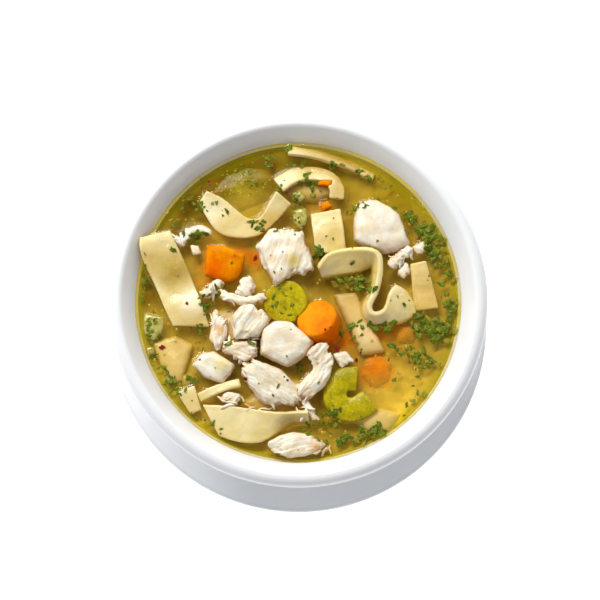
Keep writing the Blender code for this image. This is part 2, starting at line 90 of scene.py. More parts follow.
CAMERA_ELEVATION = 78.5
CAMERA_DISTANCE = 0.9
LENS_MM = 121.0
WINDOW_DIRECTION = (-0.42, 0.88, 0.95)
WINDOW_DISTANCE = 1.1
WINDOW_SIZE = (0.9, 0.3)
WINDOW_POWER = 14.0
SKY_FROM_SIDES = 0.72
SKY_FROM_ABOVE = 0.28
FLOOR_HALF_WIDTH = 2000


def linked(name, data):
    """A new object in the scene that shows some data."""
    ob = bpy.data.objects.new(name, data)
    bpy.context.scene.collection.objects.link(ob)
    return ob


def aim(ob, target, back, distance):
    """Puts a camera or a lamp at a distance from a place in metres, facing it."""
    ob.location = Vector(target) + back * distance
    ob.rotation_euler = (-back).to_track_quat("-Z", "Y").to_euler()


def add_camera():
    data = bpy.data.cameras.new("camera")
    data.lens = LENS_MM
    data.sensor_width = 36.0
    camera = linked("camera", data)
    elevation = math.radians(CAMERA_ELEVATION)
    back = Vector((0.0, -math.cos(elevation), math.sin(elevation)))
    aim(camera, (0.8 * MM, -1.6 * MM, RIM_HEIGHT * MM), back, CAMERA_DISTANCE)
    bpy.context.scene.camera = camera


def add_window():
    """A flat lamp that shines on the soup from behind and a little from the left."""
    data = bpy.data.lights.new("window", "AREA")
    data.shape = "RECTANGLE"
    data.size, data.size_y = WINDOW_SIZE
    data.energy = WINDOW_POWER
    data.color = (1.0, 0.98, 0.94)
    back = Vector(WINDOW_DIRECTION).normalized()
    aim(linked("window", data), (0.0, 0.0, LEVEL * MM), back, WINDOW_DISTANCE)


def add_world():
    """Pale light of one strength from the sides and another from above, and a white backdrop."""
    world = bpy.data.worlds.new("studio")
    bpy.context.scene.world = world
    world.use_nodes = True
    nodes = world.node_tree.nodes
    sky = Look("studio", world.node_tree)
    height = sky.part(sky.add("ShaderNodeTexCoord").outputs["Generated"], "Z")
    ends = {"Value": height, "To Min": SKY_FROM_SIDES, "To Max": SKY_FROM_ABOVE}
    light = nodes["Background"]
    sky.fill(light.inputs["Color"], (0.97, 0.98, 1.0, 1.0))
    sky.fill(light.inputs["Strength"], sky.add("ShaderNodeMapRange", ends).outputs[0])
    backdrop = sky.add("ShaderNodeBackground", {"Strength": 1.0}).outputs[0]
    seen = sky.add("ShaderNodeLightPath").outputs["Is Camera Ray"]
    mix = sky.add("ShaderNodeMixShader", {0: seen, 1: light.outputs[0], 2: backdrop})
    sky.fill(nodes["World Output"].inputs["Surface"], mix.outputs[0])


def add_floor():
    look = Look("pale_floor")
    glow = {"Emission Color": (1.0, 1.0, 1.0), "Emission Strength": 0.85}
    look.finished((0.5, 0.5, 0.5), 0.9, **glow)
    half = FLOOR_HALF_WIDTH
    corners = [(-half, -half, 0), (half, -half, 0), (half, half, 0), (-half, half, 0)]
    floor = made_object("floor", corners, [(0, 1, 2, 3)], look.material)
    floor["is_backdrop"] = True


def add_studio():
    bpy.context.scene.view_settings.view_transform = "Standard"
    add_camera()
    add_world()
    add_floor()
    add_window()


# ------------ materials


class Look:
    """A material or group of nodes, and short ways to wire it. Texture sizes are in millimetres."""

    def __init__(self, name, group=None):
        if group is None:
            self.material = bpy.data.materials.new(name)
            self.material.use_nodes = True
            self.tree = self.material.node_tree
            self.shader = self.tree.nodes["Principled BSDF"]
        else:
            self.tree = group
        self.geometry = self.add("ShaderNodeNewGeometry")
        self.place = self.geometry.outputs["Position"]

    def add(self, kind, inputs=None, **settings):
        node = self.tree.nodes.new(kind)
        for key, value in settings.items():
            setattr(node, key, value)
        for key, value in (inputs or {}).items():
            self.fill(node.inputs[key], value)
        return node

    def fill(self, socket, value):
        if isinstance(value, bpy.types.NodeSocket):
            self.tree.links.new(value, socket)
        else:
            socket.default_value = value

    def finished(self, colour, roughness, relief=None, specular=0.5, soft=None, **others):
        """The material, filled in.

        relief is what bump is given. soft lets light soak in: its share, its reach for red,
        green and blue, and a scale.
        """
        values = {"Base Color": colour, "Roughness": roughness, "Specular IOR Level": specular}
        if relief is not None:
            values["Normal"] = self.bump(*relief)
        if soft is not None:
            weight, radius, depth = soft
            values.update({"Subsurface Weight": weight, "Subsurface Scale": depth * MM})
            self.shader.inputs["Subsurface Radius"].default_value = radius
        for name, value in {**values, **others}.items():
            self.fill(self.shader.inputs[name], opaque(value))
        return self.material

    def math(self, operation, a, b=0.0):
        return self.add("ShaderNodeMath", {0: a, 1: b}, operation=operation).outputs[0]

    def vector(self, operation, a, b=None, output=0, **more):
        inputs = {0: a, **more}
        if b is not None:
            inputs[1] = b
        return self.add("ShaderNodeVectorMath", inputs, operation=operation).outputs[output]

    def span(self, value, low, high, start=0.0, end=1.0):
        """start at low, end at high, and a smooth way between them."""
        inputs = {"Value": value, "From Min": low, "From Max": high, "To Min": start, "To Max": end}
        return self.add("ShaderNodeMapRange", inputs, interpolation_type="SMOOTHSTEP").outputs[0]

    def tint(self, colour, other, value, low, high, strength=1.0):
        """The colour, turning into another one as a value goes from low to high."""
        return self.mix(self.span(value, low, high, 0.0, strength), colour, other)

    def mix(self, factor, a, b, blend="MIX"):
        node = self.add("ShaderNodeMix", data_type="RGBA", blend_type=blend)
        self.fill(node.inputs[0], factor)
        self.fill(node.inputs[6], opaque(a))
        self.fill(node.inputs[7], opaque(b))
        return node.outputs[2]

    def noise(self, size, detail=2.0, rough=0.5, warp=0.0):
        inputs = {"Scale": 1 / (size * MM), "Detail": detail, "Roughness": rough}
        inputs.update({"Distortion": warp, "Vector": self.place})
        return self.add("ShaderNodeTexNoise", inputs).outputs["Fac"]

    def patchy(self, size, start, end, detail=2.0, low=0.3, high=0.7):
        """A number that goes from start to end in patches."""
        return self.span(self.noise(size, detail), low, high, start, end)

    def spots(self, size):
        inputs = {"Scale": 1 / (size * MM), "Vector": self.place}
        return self.add("ShaderNodeTexVoronoi", inputs).outputs["Distance"]

    def bump(self, height, depth, under=None):
        """A normal from a height of 0 to 1 that stands for a depth in millimetres."""
        inputs = {"Height": height, "Distance": depth * MM, "Strength": 1.0}
        if under is not None:
            inputs["Normal"] = under
        return self.add("ShaderNodeBump", inputs).outputs["Normal"]

    def part(self, vector, axis):
        return self.add("ShaderNodeSeparateXYZ", {0: vector}).outputs[axis]

    def bulge(self):
        """Over 0.5 on convex edges, under it in hollows."""
        return self.geometry.outputs["Pointiness"]

    def faces_up(self):
        """1 on level faces, 0 on upright ones."""
        return self.part(self.geometry.outputs["Normal"], "Z")

    def from_axis(self):
        """Distance in metres from the bowl's axis."""
        level = self.vector("MULTIPLY", self.place, (1.0, 1.0, 0.0))
        return self.vector("LENGTH", level, output="Value")

    def broth(self):
        return self.add("ShaderNodeGroup", node_tree=broth_colours()).outputs[0]

    def wet(self, colour, stain=0.2, stained_to=2.2):
        """The colour of a piece: stained by the broth near its level, lost in it further down."""
        height = self.math("SUBTRACT", self.part(self.place, "Z"), LEVEL * MM)
        golden = self.mix(1.0, colour, (1.0, 0.78, 0.30), "MULTIPLY")
        stained = self.tint(colour, golden, height, stained_to * MM, 0.0, stain)
        below = self.math("MINIMUM", self.math("DIVIDE", height, FADE_DEPTH * MM), 0.0)
        return self.mix(self.math("EXPONENT", below), self.broth(), stained)

    def marked(self, colour, marks, at=None):
        """The colour with soft round patches of other colours, seen from above."""
        flat = self.vector("MULTIPLY", self.place if at is None else at, (1.0, 1.0, 0.0))
        for x, y, reach, strength, other in marks:
            gap = self.vector("DISTANCE", flat, (x * MM, y * MM, 0.0), output="Value")
            colour = self.tint(colour, other, gap, reach * MM, 0.0, strength)
        return colour


def opaque(colour):
    if isinstance(colour, tuple) and len(colour) == 3:
        return (*colour, 1.0)
    return colour


# The broth's colours
BROTH_BASE = (0.50, 0.33, 0.035)
SHADE = (0.10, 0.055, 0.001)
# Painted shade: darker broth at the back and left, and in the middle where pieces shade it
BROTH_IN_SHADE = (0.21, 0.12, 0.001)
LEAF_GREEN = (0.20, 0.22, 0.002)
GOLDEN = (0.37, 0.25, 0.004)
AMBER = (0.54, 0.26, 0.02)
CARROT_GLOW = (0.78, 0.21, 0.002)
MILKY = (0.62, 0.43, 0.04)
# Partly the broth's milky colour, partly painted light where the lamp falls most fully, at the front
# and lower right
PALE_AND_LIT = (0.82, 0.55, 0.055)
# Partly the yellow of thin broth against the wall, partly painted light on the wall's lit side
LIT_THIN_BROTH = (0.92, 0.66, 0.01)
BROTH_RING = (0.40, 0.34, 0.002)
WALL_LINE = (0.66, 0.50, 0.01)

# Patches in the broth, partly its own milky, golden and orange tones and partly painted shade and
# painted light: x, y, reach, how strong, colour
BROTH_CLOUDS = [
    (-30, 56, 36, 1.0, BROTH_IN_SHADE), (-26, 54, 13, 0.6, LEAF_GREEN), (-8, 64, 24, 0.6, BROTH_IN_SHADE),
    (16, 62, 26, 0.9, GOLDEN), (34, 58, 18, 0.6, MILKY), (-56, 40, 26, 0.8, BROTH_IN_SHADE),
    (-50, 47, 11, 0.7, SHADE), (46, 48, 24, 0.9, GOLDEN), (-24, 43, 14, 0.8, MILKY),
    (-36, 27, 15, 0.95, PALE_AND_LIT), (-22, 19, 11, 0.9, CARROT_GLOW), (-37, 14, 12, 0.8, CARROT_GLOW),
    (-14, 8, 14, 0.7, MILKY), (-64, 4, 17, 0.9, BROTH_IN_SHADE), (-64, -16, 17, 0.7, MILKY),
    (12, 44, 14, 0.8, AMBER), (12, 9, 14, 0.95, BROTH_IN_SHADE), (27, 10, 13, 0.9, BROTH_IN_SHADE),
    (24, 28, 12, 0.8, GOLDEN), (22, -8, 13, 0.9, AMBER), (40, -14, 12, 0.8, CARROT_GLOW),
    (46, -22, 13, 0.8, AMBER), (54, 6, 19, 0.8, MILKY), (50, -44, 27, 1.0, PALE_AND_LIT),
    (34, -33, 12, 0.95, CARROT_GLOW), (14, -52, 14, 0.8, GOLDEN), (-20, -24, 24, 0.9, SHADE),
    (-26, -44, 14, 0.7, MILKY), (6, -34, 12, 0.7, MILKY), (0, -60, 9, 0.6, MILKY),
    (-58, -34, 20, 0.8, MILKY), (-10, -47, 19, 0.8, PALE_AND_LIT), (-42, -54, 15, 0.8, PALE_AND_LIT),
    (19, -20, 10, 0.95, CARROT_GLOW), (50, -54, 7, 0.9, LIT_THIN_BROTH),
]

# Marks on the food, laid on in the same way, partly the food's own tones and partly painted light and
# shade
CREAM = (0.92, 0.83, 0.56)
DOUGH = (0.82, 0.69, 0.34)
# Painted light: the golden glow that light thrown up from the broth gives the curl's shaded face
BOUNCE_LIT_YELLOW = (0.92, 0.75, 0.27)
# Partly broth soaked into the dough, partly painted shade on slopes turned from the lamp
SOAKED_AND_SHADED = (0.66, 0.46, 0.11)
SUNK_DOUGH = (0.45, 0.30, 0.03)
NOODLE_MARKS = [
    (-62, 27, 13, 0.9, DOUGH), (-57, 16, 15, 0.85, SOAKED_AND_SHADED), (-55, 12, 13, 0.9, SUNK_DOUGH),
    (-48, -1, 10, 1.0, CREAM), (-45, -12, 8, 0.6, SOAKED_AND_SHADED), (-66, 17, 9, 0.7, SOAKED_AND_SHADED),
    (-40, 40, 10, 0.8, CREAM), (-26, 31, 9, 0.8, DOUGH), (-12, 36, 9, 0.9, SOAKED_AND_SHADED),
    (-11, 46, 7, 0.8, DOUGH), (-30, -54, 16, 0.7, DOUGH), (-4, -57, 10, 0.8, SUNK_DOUGH),
    (8, 36, 9, 0.8, DOUGH), (16, 27, 8, 0.8, SOAKED_AND_SHADED), (20, 68, 30, 0.95, SUNK_DOUGH),
    (14, 56, 14, 0.8, DOUGH), (20, 50, 10, 0.8, SOAKED_AND_SHADED), (60, 6, 20, 0.9, SOAKED_AND_SHADED),
    (24, 18, 17, 0.9, BOUNCE_LIT_YELLOW), (20, 6, 9, 0.8, SUNK_DOUGH), (38, 6, 6, 0.5, SOAKED_AND_SHADED),
    (26, -6, 18, 0.9, DOUGH), (33, -18, 14, 1.0, CREAM), (-56, -28, 16, 0.9, DOUGH),
    (34, -54, 16, 0.9, DOUGH),
]
OIL_STAIN = (0.70, 0.54, 0.05)
BROWNED = (0.68, 0.32, 0.04)
SHADED_MEAT = (0.72, 0.46, 0.27)
CHICKEN_MARKS = [
    (-2, 17, 5, 0.8, OIL_STAIN), (-22, -48, 4, 0.9, BROWNED), (8, -67, 4.5, 0.8, BROWNED),
    (-34, -30, 6, 0.6, OIL_STAIN), (-35, -14, 4, 0.7, BROWNED), (-24, -21, 5, 0.6, SHADED_MEAT),
    (42, 22, 7, 0.6, SHADED_MEAT), (4, -44, 5, 0.5, SHADED_MEAT),
]
# Painted shade: darker orange on the block's lower part and the round's lower right side
SHADED_ORANGE = (0.82, 0.12, 0.0)
# Painted light: paler orange on the block's top edge and the round's upper left
LIT_ORANGE = (0.80, 0.36, 0.0)
CARROT_MARKS = [
    (-38, 12.5, 9, 0.9, SHADED_ORANGE), (-33, 25, 6, 0.5, LIT_ORANGE),
    (14, -16, 10, 0.7, SHADED_ORANGE), (3, -5, 10, 0.8, LIT_ORANGE),
]


def broth_colours():
    """One group of nodes for the broth's colour at each place, which all the food fades into."""
    found = bpy.data.node_groups.get("broth_colour")
    if found is not None:
        return found
    group = bpy.data.node_groups.new("broth_colour", "ShaderNodeTree")
    group.interface.new_socket("Color", in_out="OUTPUT", socket_type="NodeSocketColor")
    look = Look("broth_colour", group)
    inputs = {"Scale": 1 / (16 * MM), "Detail": 2.0, "Vector": look.place}
    drift = look.add("ShaderNodeTexNoise", inputs)
    centred = look.vector("SUBTRACT", drift.outputs["Color"], (0.5, 0.5, 0.5))
    shift = look.vector("SCALE", centred, Scale=22 * MM)
    colour = look.marked(BROTH_BASE, BROTH_CLOUDS, look.vector("ADD", look.place, shift))
    mottle = look.span(look.noise(6, 4.0, 0.6, 0.6), 0.3, 0.7, 0.84, 1.14)
    colour = look.vector("SCALE", colour, Scale=mottle)
    inner, outer = (BROTH_RADIUS - 6.0) * MM, (BROTH_RADIUS - 1.0) * MM
    colour = look.tint(colour, BROTH_RING, look.from_axis(), inner, outer, 0.6)
    out = group.nodes.new("NodeGroupOutput")
    group.links.new(colour, out.inputs[0])
    return group


def ceramic_look():
    look = Look("white_glaze")
    colour = look.tint((0.84, 0.86, 0.885), (0.86, 0.875, 0.895), look.noise(26, 3.0), 0.3, 0.7)
    coat = {"Coat Weight": 0.25, "Coat Roughness": 0.04}
    return look.finished(colour, look.patchy(9, 0.10, 0.16), (look.noise(14, 1.0), 0.05), **coat)


def broth_core_look():
    look = Look("cloudy_broth")
    return look.finished(look.broth(), 0.6, specular=0.0, soft=(0.4, (1.0, 0.6, 0.12), 2.0))


def broth_skin_look():
    look = Look("clear_broth")
    at_wall = look.span(look.from_axis(), (BROTH_RADIUS - 1.5) * MM, (BROTH_RADIUS - 0.6) * MM)
    colour = look.mix(at_wall, look.mix(0.2, look.broth(), (0.70, 0.44, 0.02)), WALL_LINE)
    steep = look.span(look.math("ABSOLUTE", look.faces_up()), 0.985, 0.93, 0.0, 0.5)
    alpha = look.math("MAXIMUM", look.patchy(10, 0.08, 0.16, 3.0), steep)
    line_alpha = look.math("MULTIPLY", at_wall, look.patchy(24, 0.35, 0.65, 1.0, 0.4, 0.6))
    alpha = look.math("MAXIMUM", alpha, line_alpha)
    return look.finished(colour, 0.05, Alpha=alpha, IOR=1.5)


def noodle_look():
    look = Look("egg_noodle")
    colour = look.tint((0.76, 0.59, 0.22), (0.84, 0.72, 0.38), look.noise(14), 0.36, 0.64)
    colour = look.marked(colour, NOODLE_MARKS)
    colour = look.tint(colour, (0.93, 0.85, 0.56), look.noise(0.9, 3.0, 0.7), 0.42, 0.62, 0.1)
    # Painted highlight: convex edges paler, as if catching the lamp
    colour = look.tint(colour, (0.93, 0.86, 0.58), look.bulge(), 0.52, 0.60, 0.7)
    # Painted shade: upright sides darker and golden, as if lit only by light thrown up from the broth
    colour = look.tint(colour, (0.80, 0.54, 0.08), look.faces_up(), 0.55, 0.0)
    dents = look.bump(look.noise(8, 1.0), 0.9)
    return look.finished(
        look.wet(colour, 0.5, 2.0),
        look.patchy(9, 0.4, 0.1, low=0.45, high=0.6),
        (look.noise(1.6, 4.0, 0.6), 0.16, dents),
        specular=0.4,
        soft=(0.3, (1.0, 0.6, 0.15), 1.2),
    )


def chicken_look():
    look = Look("chicken_meat")
    along = look.add("ShaderNodeAttribute", attribute_name=FIBRES).outputs["Vector"]
    inputs = {"Scale": 1.3, "Detail": 4.0, "Roughness": 0.65, "Vector": along}
    streaks = look.add("ShaderNodeTexNoise", inputs).outputs["Fac"]
    shown = look.add("ShaderNodeAttribute", attribute_name=FIBRES_SHOW).outputs["Fac"]
    streaks = look.math("MULTIPLY", look.math("SUBTRACT", streaks, 0.5), shown)
    streaks = look.math("ADD", streaks, 0.5)
    colour = look.tint((0.84, 0.72, 0.50), (0.92, 0.89, 0.77), look.noise(5, 4.0, 0.6), 0.32, 0.68)
    colour = look.tint(colour, (0.74, 0.55, 0.33), streaks, 0.52, 0.36, 0.55)
    # Painted shade: tan in the hollows and cracks
    colour = look.tint(colour, (0.62, 0.36, 0.12), look.bulge(), 0.50, 0.43, 0.8)
    # Painted shade: tan on upright sides, warmed as by light thrown up from the broth
    colour = look.tint(colour, (0.76, 0.50, 0.28), look.faces_up(), 0.8, 0.1, 0.85)
    colour = look.tint(colour, (0.80, 0.64, 0.40), look.noise(7), 0.54, 0.68, 0.5)
    colour = look.marked(colour, CHICKEN_MARKS)
    return look.finished(
        look.wet(colour, 0.9, 2.6),
        look.patchy(2, 0.2, 0.48),
        (look.noise(0.7, 4.0, 0.7), 0.10, look.bump(streaks, 0.35)),
        soft=(0.22, (1.0, 0.6, 0.3), 1.0),
    )


def carrot_look():
    look = Look("carrot")
    colour = look.tint((0.76, 0.18, 0.0), (0.86, 0.30, 0.0), look.noise(3, 4.0, 0.6), 0.3, 0.7)
    colour = look.marked(colour, CARROT_MARKS)
    # Painted shade: upright sides a deeper red
    colour = look.tint(colour, (0.62, 0.07, 0.0), look.faces_up(), 0.7, -0.1)
    colour = look.tint(colour, (0.50, 0.13, 0.0), look.noise(0.8, 3.0, 0.6), 0.60, 0.72, 0.6)
    # Painted highlight: convex edges paler, as where a wet film catches the lamp
    colour = look.tint(colour, (0.98, 0.44, 0.03), look.bulge(), 0.54, 0.62, 0.6)
    return look.finished(
        look.wet(colour),
        look.patchy(1.5, 0.05, 0.14),
        (look.noise(0.9, 3.0, 0.6), 0.35),
        specular=0.05,
        soft=(0.2, (1.0, 0.3, 0.0), 1.5),
    )


def celery_look():
    look = Look("celery")
    colour = look.tint((0.33, 0.27, 0.001), (0.55, 0.45, 0.003), look.noise(3.5, 4.0, 0.6), 0.3, 0.7)
    colour = look.tint((0.62, 0.54, 0.08), colour, look.spots(1.5), 0.12, 0.26)
    relief = (look.noise(0.9, 4.0, 0.6), 0.16)
    soft = (0.3, (0.8, 1.0, 0.1), 1.5)
    return look.finished(look.wet(colour), look.patchy(1.5, 0.08, 0.25), relief, 0.2, soft)


def onion_look():
    look = Look("onion")
    lines = look.noise(2.0, 3.0, 0.6, 1.0)
    colour = look.tint((0.36, 0.30, 0.04), (0.58, 0.52, 0.16), lines, 0.3, 0.7)
    relief = (look.noise(1.2, 3.0), 0.15)
    return look.finished(look.wet(colour), 0.15, relief, soft=(0.4, (0.9, 1.0, 0.3), 1.5))


def parsley_look():
    look = Look("parsley")
    shade = look.noise(2.4, 2.0, 0.6)
    colour = look.tint((0.035, 0.065, 0.001), (0.17, 0.22, 0.003), shade, 0.32, 0.68)
    colour = look.tint(colour, (0.30, 0.36, 0.01), look.noise(0.5, 3.0, 0.7), 0.45, 0.6, 0.35)
    relief = (look.noise(0.5, 3.0, 0.6), 0.08)
    soft = (0.15, (0.5, 1.0, 0.1), 0.6)
    return look.finished(look.wet(colour, 0.0), look.patchy(1.0, 0.25, 0.5), relief, 0.2, soft)


def chilli_look():
    look = Look("chilli")
    shade = look.noise(1.2, 2.0, 0.6)
    colour = look.tint((0.12, 0.002, 0.0), (0.36, 0.01, 0.0), shade, 0.35, 0.65)
    return look.finished(look.wet(colour, 0.0), 0.3, (look.noise(0.6), 0.06), 0.2)


def oil_look():
    look = Look("oil")
    colour = look.tint((0.62, 0.42, 0.01), (0.80, 0.62, 0.05), look.noise(3.0), 0.3, 0.7)
    return look.finished(colour, 0.02, Alpha=0.35, IOR=1.6)


# ------------ seeded noise


def hashed(cell, seed):
    """A number from 0 to 1 for each whole-numbered cell."""
    mixed = cell[..., 0] * 374761393 + cell[..., 1] * 668265263 + cell[..., 2] * 2246822519
    mixed = (mixed + seed * 3266489917) * 1103515245
    mixed = (mixed ^ (mixed >> 15)) * 1274126177
    mixed = mixed ^ (mixed >> 13)
    return (mixed & 0xFFFFFF) / 0x1000000


def hashed_vector(cell, seed):
    return np.stack([hashed(cell, seed + k) for k in range(3)], 1)


def waves(points, size, seed):
    """Smooth noise from about -1 to 1, with bumps about size across along each axis."""
    spots = points / size
    corner = np.floor(spots)
    part = spots - corner
    ease = part * part * (3 - 2 * part)
    total = np.zeros(len(points))
    for step in itertools.product((0, 1), repeat=3):
        cell = (corner + step).astype(np.int64)
        slope = hashed_vector(cell, seed * 3) - 0.5
        share = np.prod(np.where(step, ease, 1 - ease), 1)
        total += share * np.sum(slope * (part - step), 1)
    return total * 2.6


def cells(points, size, seed):
    """For cells about size across: how deep each point is in its cell, and each cell's number."""
    spots = points / size
    corner = np.floor(spots).astype(np.int64)
    nearest = np.full(len(points), 9.0)
    second = np.full(len(points), 9.0)
    value = np.zeros(len(points))
    for step in itertools.product((-1, 0, 1), repeat=3):
        cell = corner + step
        centre = cell + hashed_vector(cell, seed * 4)
        gap = np.linalg.norm(spots - centre, axis=1)
        closer = gap < nearest
        second = np.where(closer, nearest, np.minimum(second, gap))
        value = np.where(closer, hashed(cell, seed * 4 + 3), value)
        nearest = np.minimum(nearest, gap)
    return second - nearest, value


# ------------ meshes


def made_object(name, verts, faces, look):
    """An object in metres from vertices in millimetres."""
    mesh = bpy.data.meshes.new(name)
    mesh.from_pydata((np.asarray(verts, float) * MM).tolist(), [], faces)
    mesh.shade_smooth()
    mesh.materials.append(look)
    return linked(name, mesh)


def place_piece(ob, slot, *nodes):
    """Puts a finished piece in the bowl's body, in place of its CAD nodes."""
    if nodes:
        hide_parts(*nodes)
    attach(ob, "root")
    return ob


def vectors_of(items, key):
    values = np.empty(len(items) * 3, np.float32)
    items.foreach_get(key, values)
    return values.reshape(-1, 3).astype(float)


def points_of(mesh):
    return vectors_of(mesh.vertices, "co")


def normals_of(mesh):
    return vectors_of(mesh.vertex_normals, "vector")


def move_points(mesh, points):
    mesh.vertices.foreach_set("co", points.astype(np.float32).ravel())
    mesh.update()


def give_attribute(mesh, name, values):
    """Keeps a number or a vector for each point, which the material reads."""
    kind, key = ("FLOAT", "value") if values.ndim == 1 else ("FLOAT_VECTOR", "vector")
    kept = mesh.attributes.new(name, kind, "POINT")
    kept.data.foreach_set(key, values.astype(np.float32).ravel())


def solid_of(node):
    """A node's solid in millimetres."""
    bm = bmesh.new()
    bm.from_mesh(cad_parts[node].data)
    bmesh.ops.scale(bm, vec=(1 / MM,) * 3, verts=bm.verts)
    bmesh.ops.remove_doubles(bm, verts=bm.verts, dist=SAME_PLACE)
    return bm


def finished_mesh(bm):
    mesh = bpy.data.meshes.new("rough_form")
    bm.to_mesh(mesh)
    bm.free()
    return mesh


def rounded_copy(node, voxel, smoothing, subdivisions=0, crease_over=180.0):
    """The node's solid in millimetres, with curves for facets, rounded edges and even cells.

    Edges sharper than crease_over degrees stay edges while the facets are curved.
    """
    bm = solid_of(node)
    if subdivisions:
        flat, square = math.radians(25), math.radians(120)
        bmesh.ops.join_triangles(
            bm, faces=bm.faces, angle_face_threshold=flat, angle_shape_threshold=square
        )
    crease = bm.edges.layers.float.new("crease_edge")
    for edge in bm.edges:
        if math.degrees(edge.calc_face_angle(0.0)) > crease_over:
            edge[crease] = 1.0
    return remeshed(finished_mesh(bm), voxel, smoothing, subdivisions)


def remeshed(mesh, voxel, smoothing, subdivisions=0):
    """The mesh with even cells, smoothed. The old mesh is used up."""
    ob = linked("rough_form", mesh)
    if subdivisions:
        curves = ob.modifiers.new("curves", "SUBSURF")
        curves.levels = curves.render_levels = subdivisions
    grid = ob.modifiers.new("grid", "REMESH")
    grid.mode = "VOXEL"
    grid.voxel_size = voxel
    if smoothing:
        soften = ob.modifiers.new("soften", "SMOOTH")
        soften.factor = 0.5
        soften.iterations = smoothing
    made = bpy.data.meshes.new_from_object(ob.evaluated_get(bpy.context.evaluated_depsgraph_get()))
    bpy.data.objects.remove(ob, do_unlink=True)
    bpy.data.meshes.remove(mesh)
    return made


def food_object(name, mesh, look):
    """An object in metres from a mesh in millimetres."""
    move_points(mesh, points_of(mesh) * MM)
    mesh.name = name
    mesh.materials.clear()
    mesh.materials.append(look)
    mesh.shade_smooth()
    return linked(name, mesh)


# ------------ dish


def profile_of(node):
    """A turned node's outline as (radius, height), from its inside round to its underside."""
    bm = solid_of(node)
    line = {v for v in bm.verts if abs(v.co.y) < SAME_PLACE and v.co.x > -SAME_PLACE}
    ends = [v for v in line if sum(e.other_vert(v) in line for e in v.link_edges) == 1]
    here = max(ends, key=lambda v: v.co.z)
    outline = []
    while here is not None:
        outline.append((here.co.x, here.co.z))
        line.discard(here)
        nexts = [e.other_vert(here) for e in here.link_edges if e.other_vert(here) in line]
        here = nexts[0] if nexts else None
    bm.free()
    if outline[0][0] > 0.01:
        outline.insert(0, (0.0, outline[0][1]))
    if outline[-1][0] > 0.01:
        outline.append((0.0, outline[-1][1]))
    return outline


def refined(outline, steps=5, corner=38.0, bevel=0.35):
    """The outline with its bends drawn as curves, and its sharp corners eased."""
    knots = [Vector(p) for p in outline]
    eased = [knots[0]]
    sharp = {0}
    for before, here, after in zip(knots, knots[1:], knots[2:]):
        into, out = (here - before), (after - here)
        if math.degrees(into.angle(out)) > corner:
            reach = min(bevel, into.length / 3, out.length / 3)
            sharp.update((len(eased), len(eased) + 1))
            eased.append(here - into.normalized() * reach)
            eased.append(here + out.normalized() * reach)
        else:
            eased.append(here)
    sharp.add(len(eased))
    eased.append(knots[-1])
    points = []
    for i, (b, c) in enumerate(zip(eased, eased[1:])):
        a = b * 2 - c if i in sharp else eased[i - 1]
        d = c * 2 - b if i + 1 in sharp else eased[i + 2]
        span = (c - b).length
        slope_b = (c - a).normalized() * span
        slope_c = (d - b).normalized() * span
        points += [hermite(b, c, slope_b, slope_c, step / steps) for step in range(steps)]
    points.append(eased[-1])
    return points


def hermite(start, end, slope_start, slope_end, t):
    return (
        start * (2 * t**3 - 3 * t**2 + 1)
        + slope_start * (t**3 - 2 * t**2 + t)
        + end * (3 * t**2 - 2 * t**3)
        + slope_end * (t**3 - t**2)
    )


def revolved(outline, steps):
    """A turned solid's vertices and faces. The outline begins and ends on the axis."""
    inner = outline[1:-1]
    verts = [(0.0, 0.0, outline[0][1])]
    for radius, height in inner:
        for step in range(steps):
            angle = math.tau * step / steps
            verts.append((radius * math.cos(angle), radius * math.sin(angle), height))
    verts.append((0.0, 0.0, outline[-1][1]))
    faces = []
    last = 1 + (len(inner) - 1) * steps
    for step in range(steps):
        after = (step + 1) % steps
        faces.append((0, 1 + step, 1 + after))
        for a in range(1, last, steps):
            b = a + steps
            faces.append((a + step, b + step, b + after, a + after))
        faces.append((last + step, len(verts) - 1, last + after))
    return verts, faces


def build_dish():
    look = ceramic_look()
    for node in ("bowl", "saucer"):
        solid = revolved(refined(profile_of(node)), DISH_STEPS)
        place_piece(made_object("glazed_" + node, *solid, look), "white_glaze", node)


# ------------ food


# Cell sizes of the meshes
FOOD_GRID = 0.38
MEAT_GRID = 0.45
TORN_GRID = 0.33


def cooked(node, mesh, look, slot):
    return place_piece(food_object("cooked_" + node, mesh, look), slot, node)


def build_noodle(node, look):
    mesh = rounded_copy(node, FOOD_GRID, 7, subdivisions=3, crease_over=40.0)
    points, normals = points_of(mesh), normals_of(mesh)
    swell = 0.45 if node == "noodle_curl" else 0.2
    swell += 0.12 * waves(points, 9.0, 1) + 0.08 * waves(points, 3.0, 2) + 0.03 * waves(points, 1.0, 3)
    ruffle = 0.7 * waves(points * (1, 1, 0), 13.0, 4) + 0.25 * waves(points * (1, 1, 0), 6.0, 5)
    move_points(mesh, points + normals * swell[:, None] + np.outer(ruffle, (0.2, 0.2, 1.0)))
    return cooked(node, mesh, look, "egg_noodle")


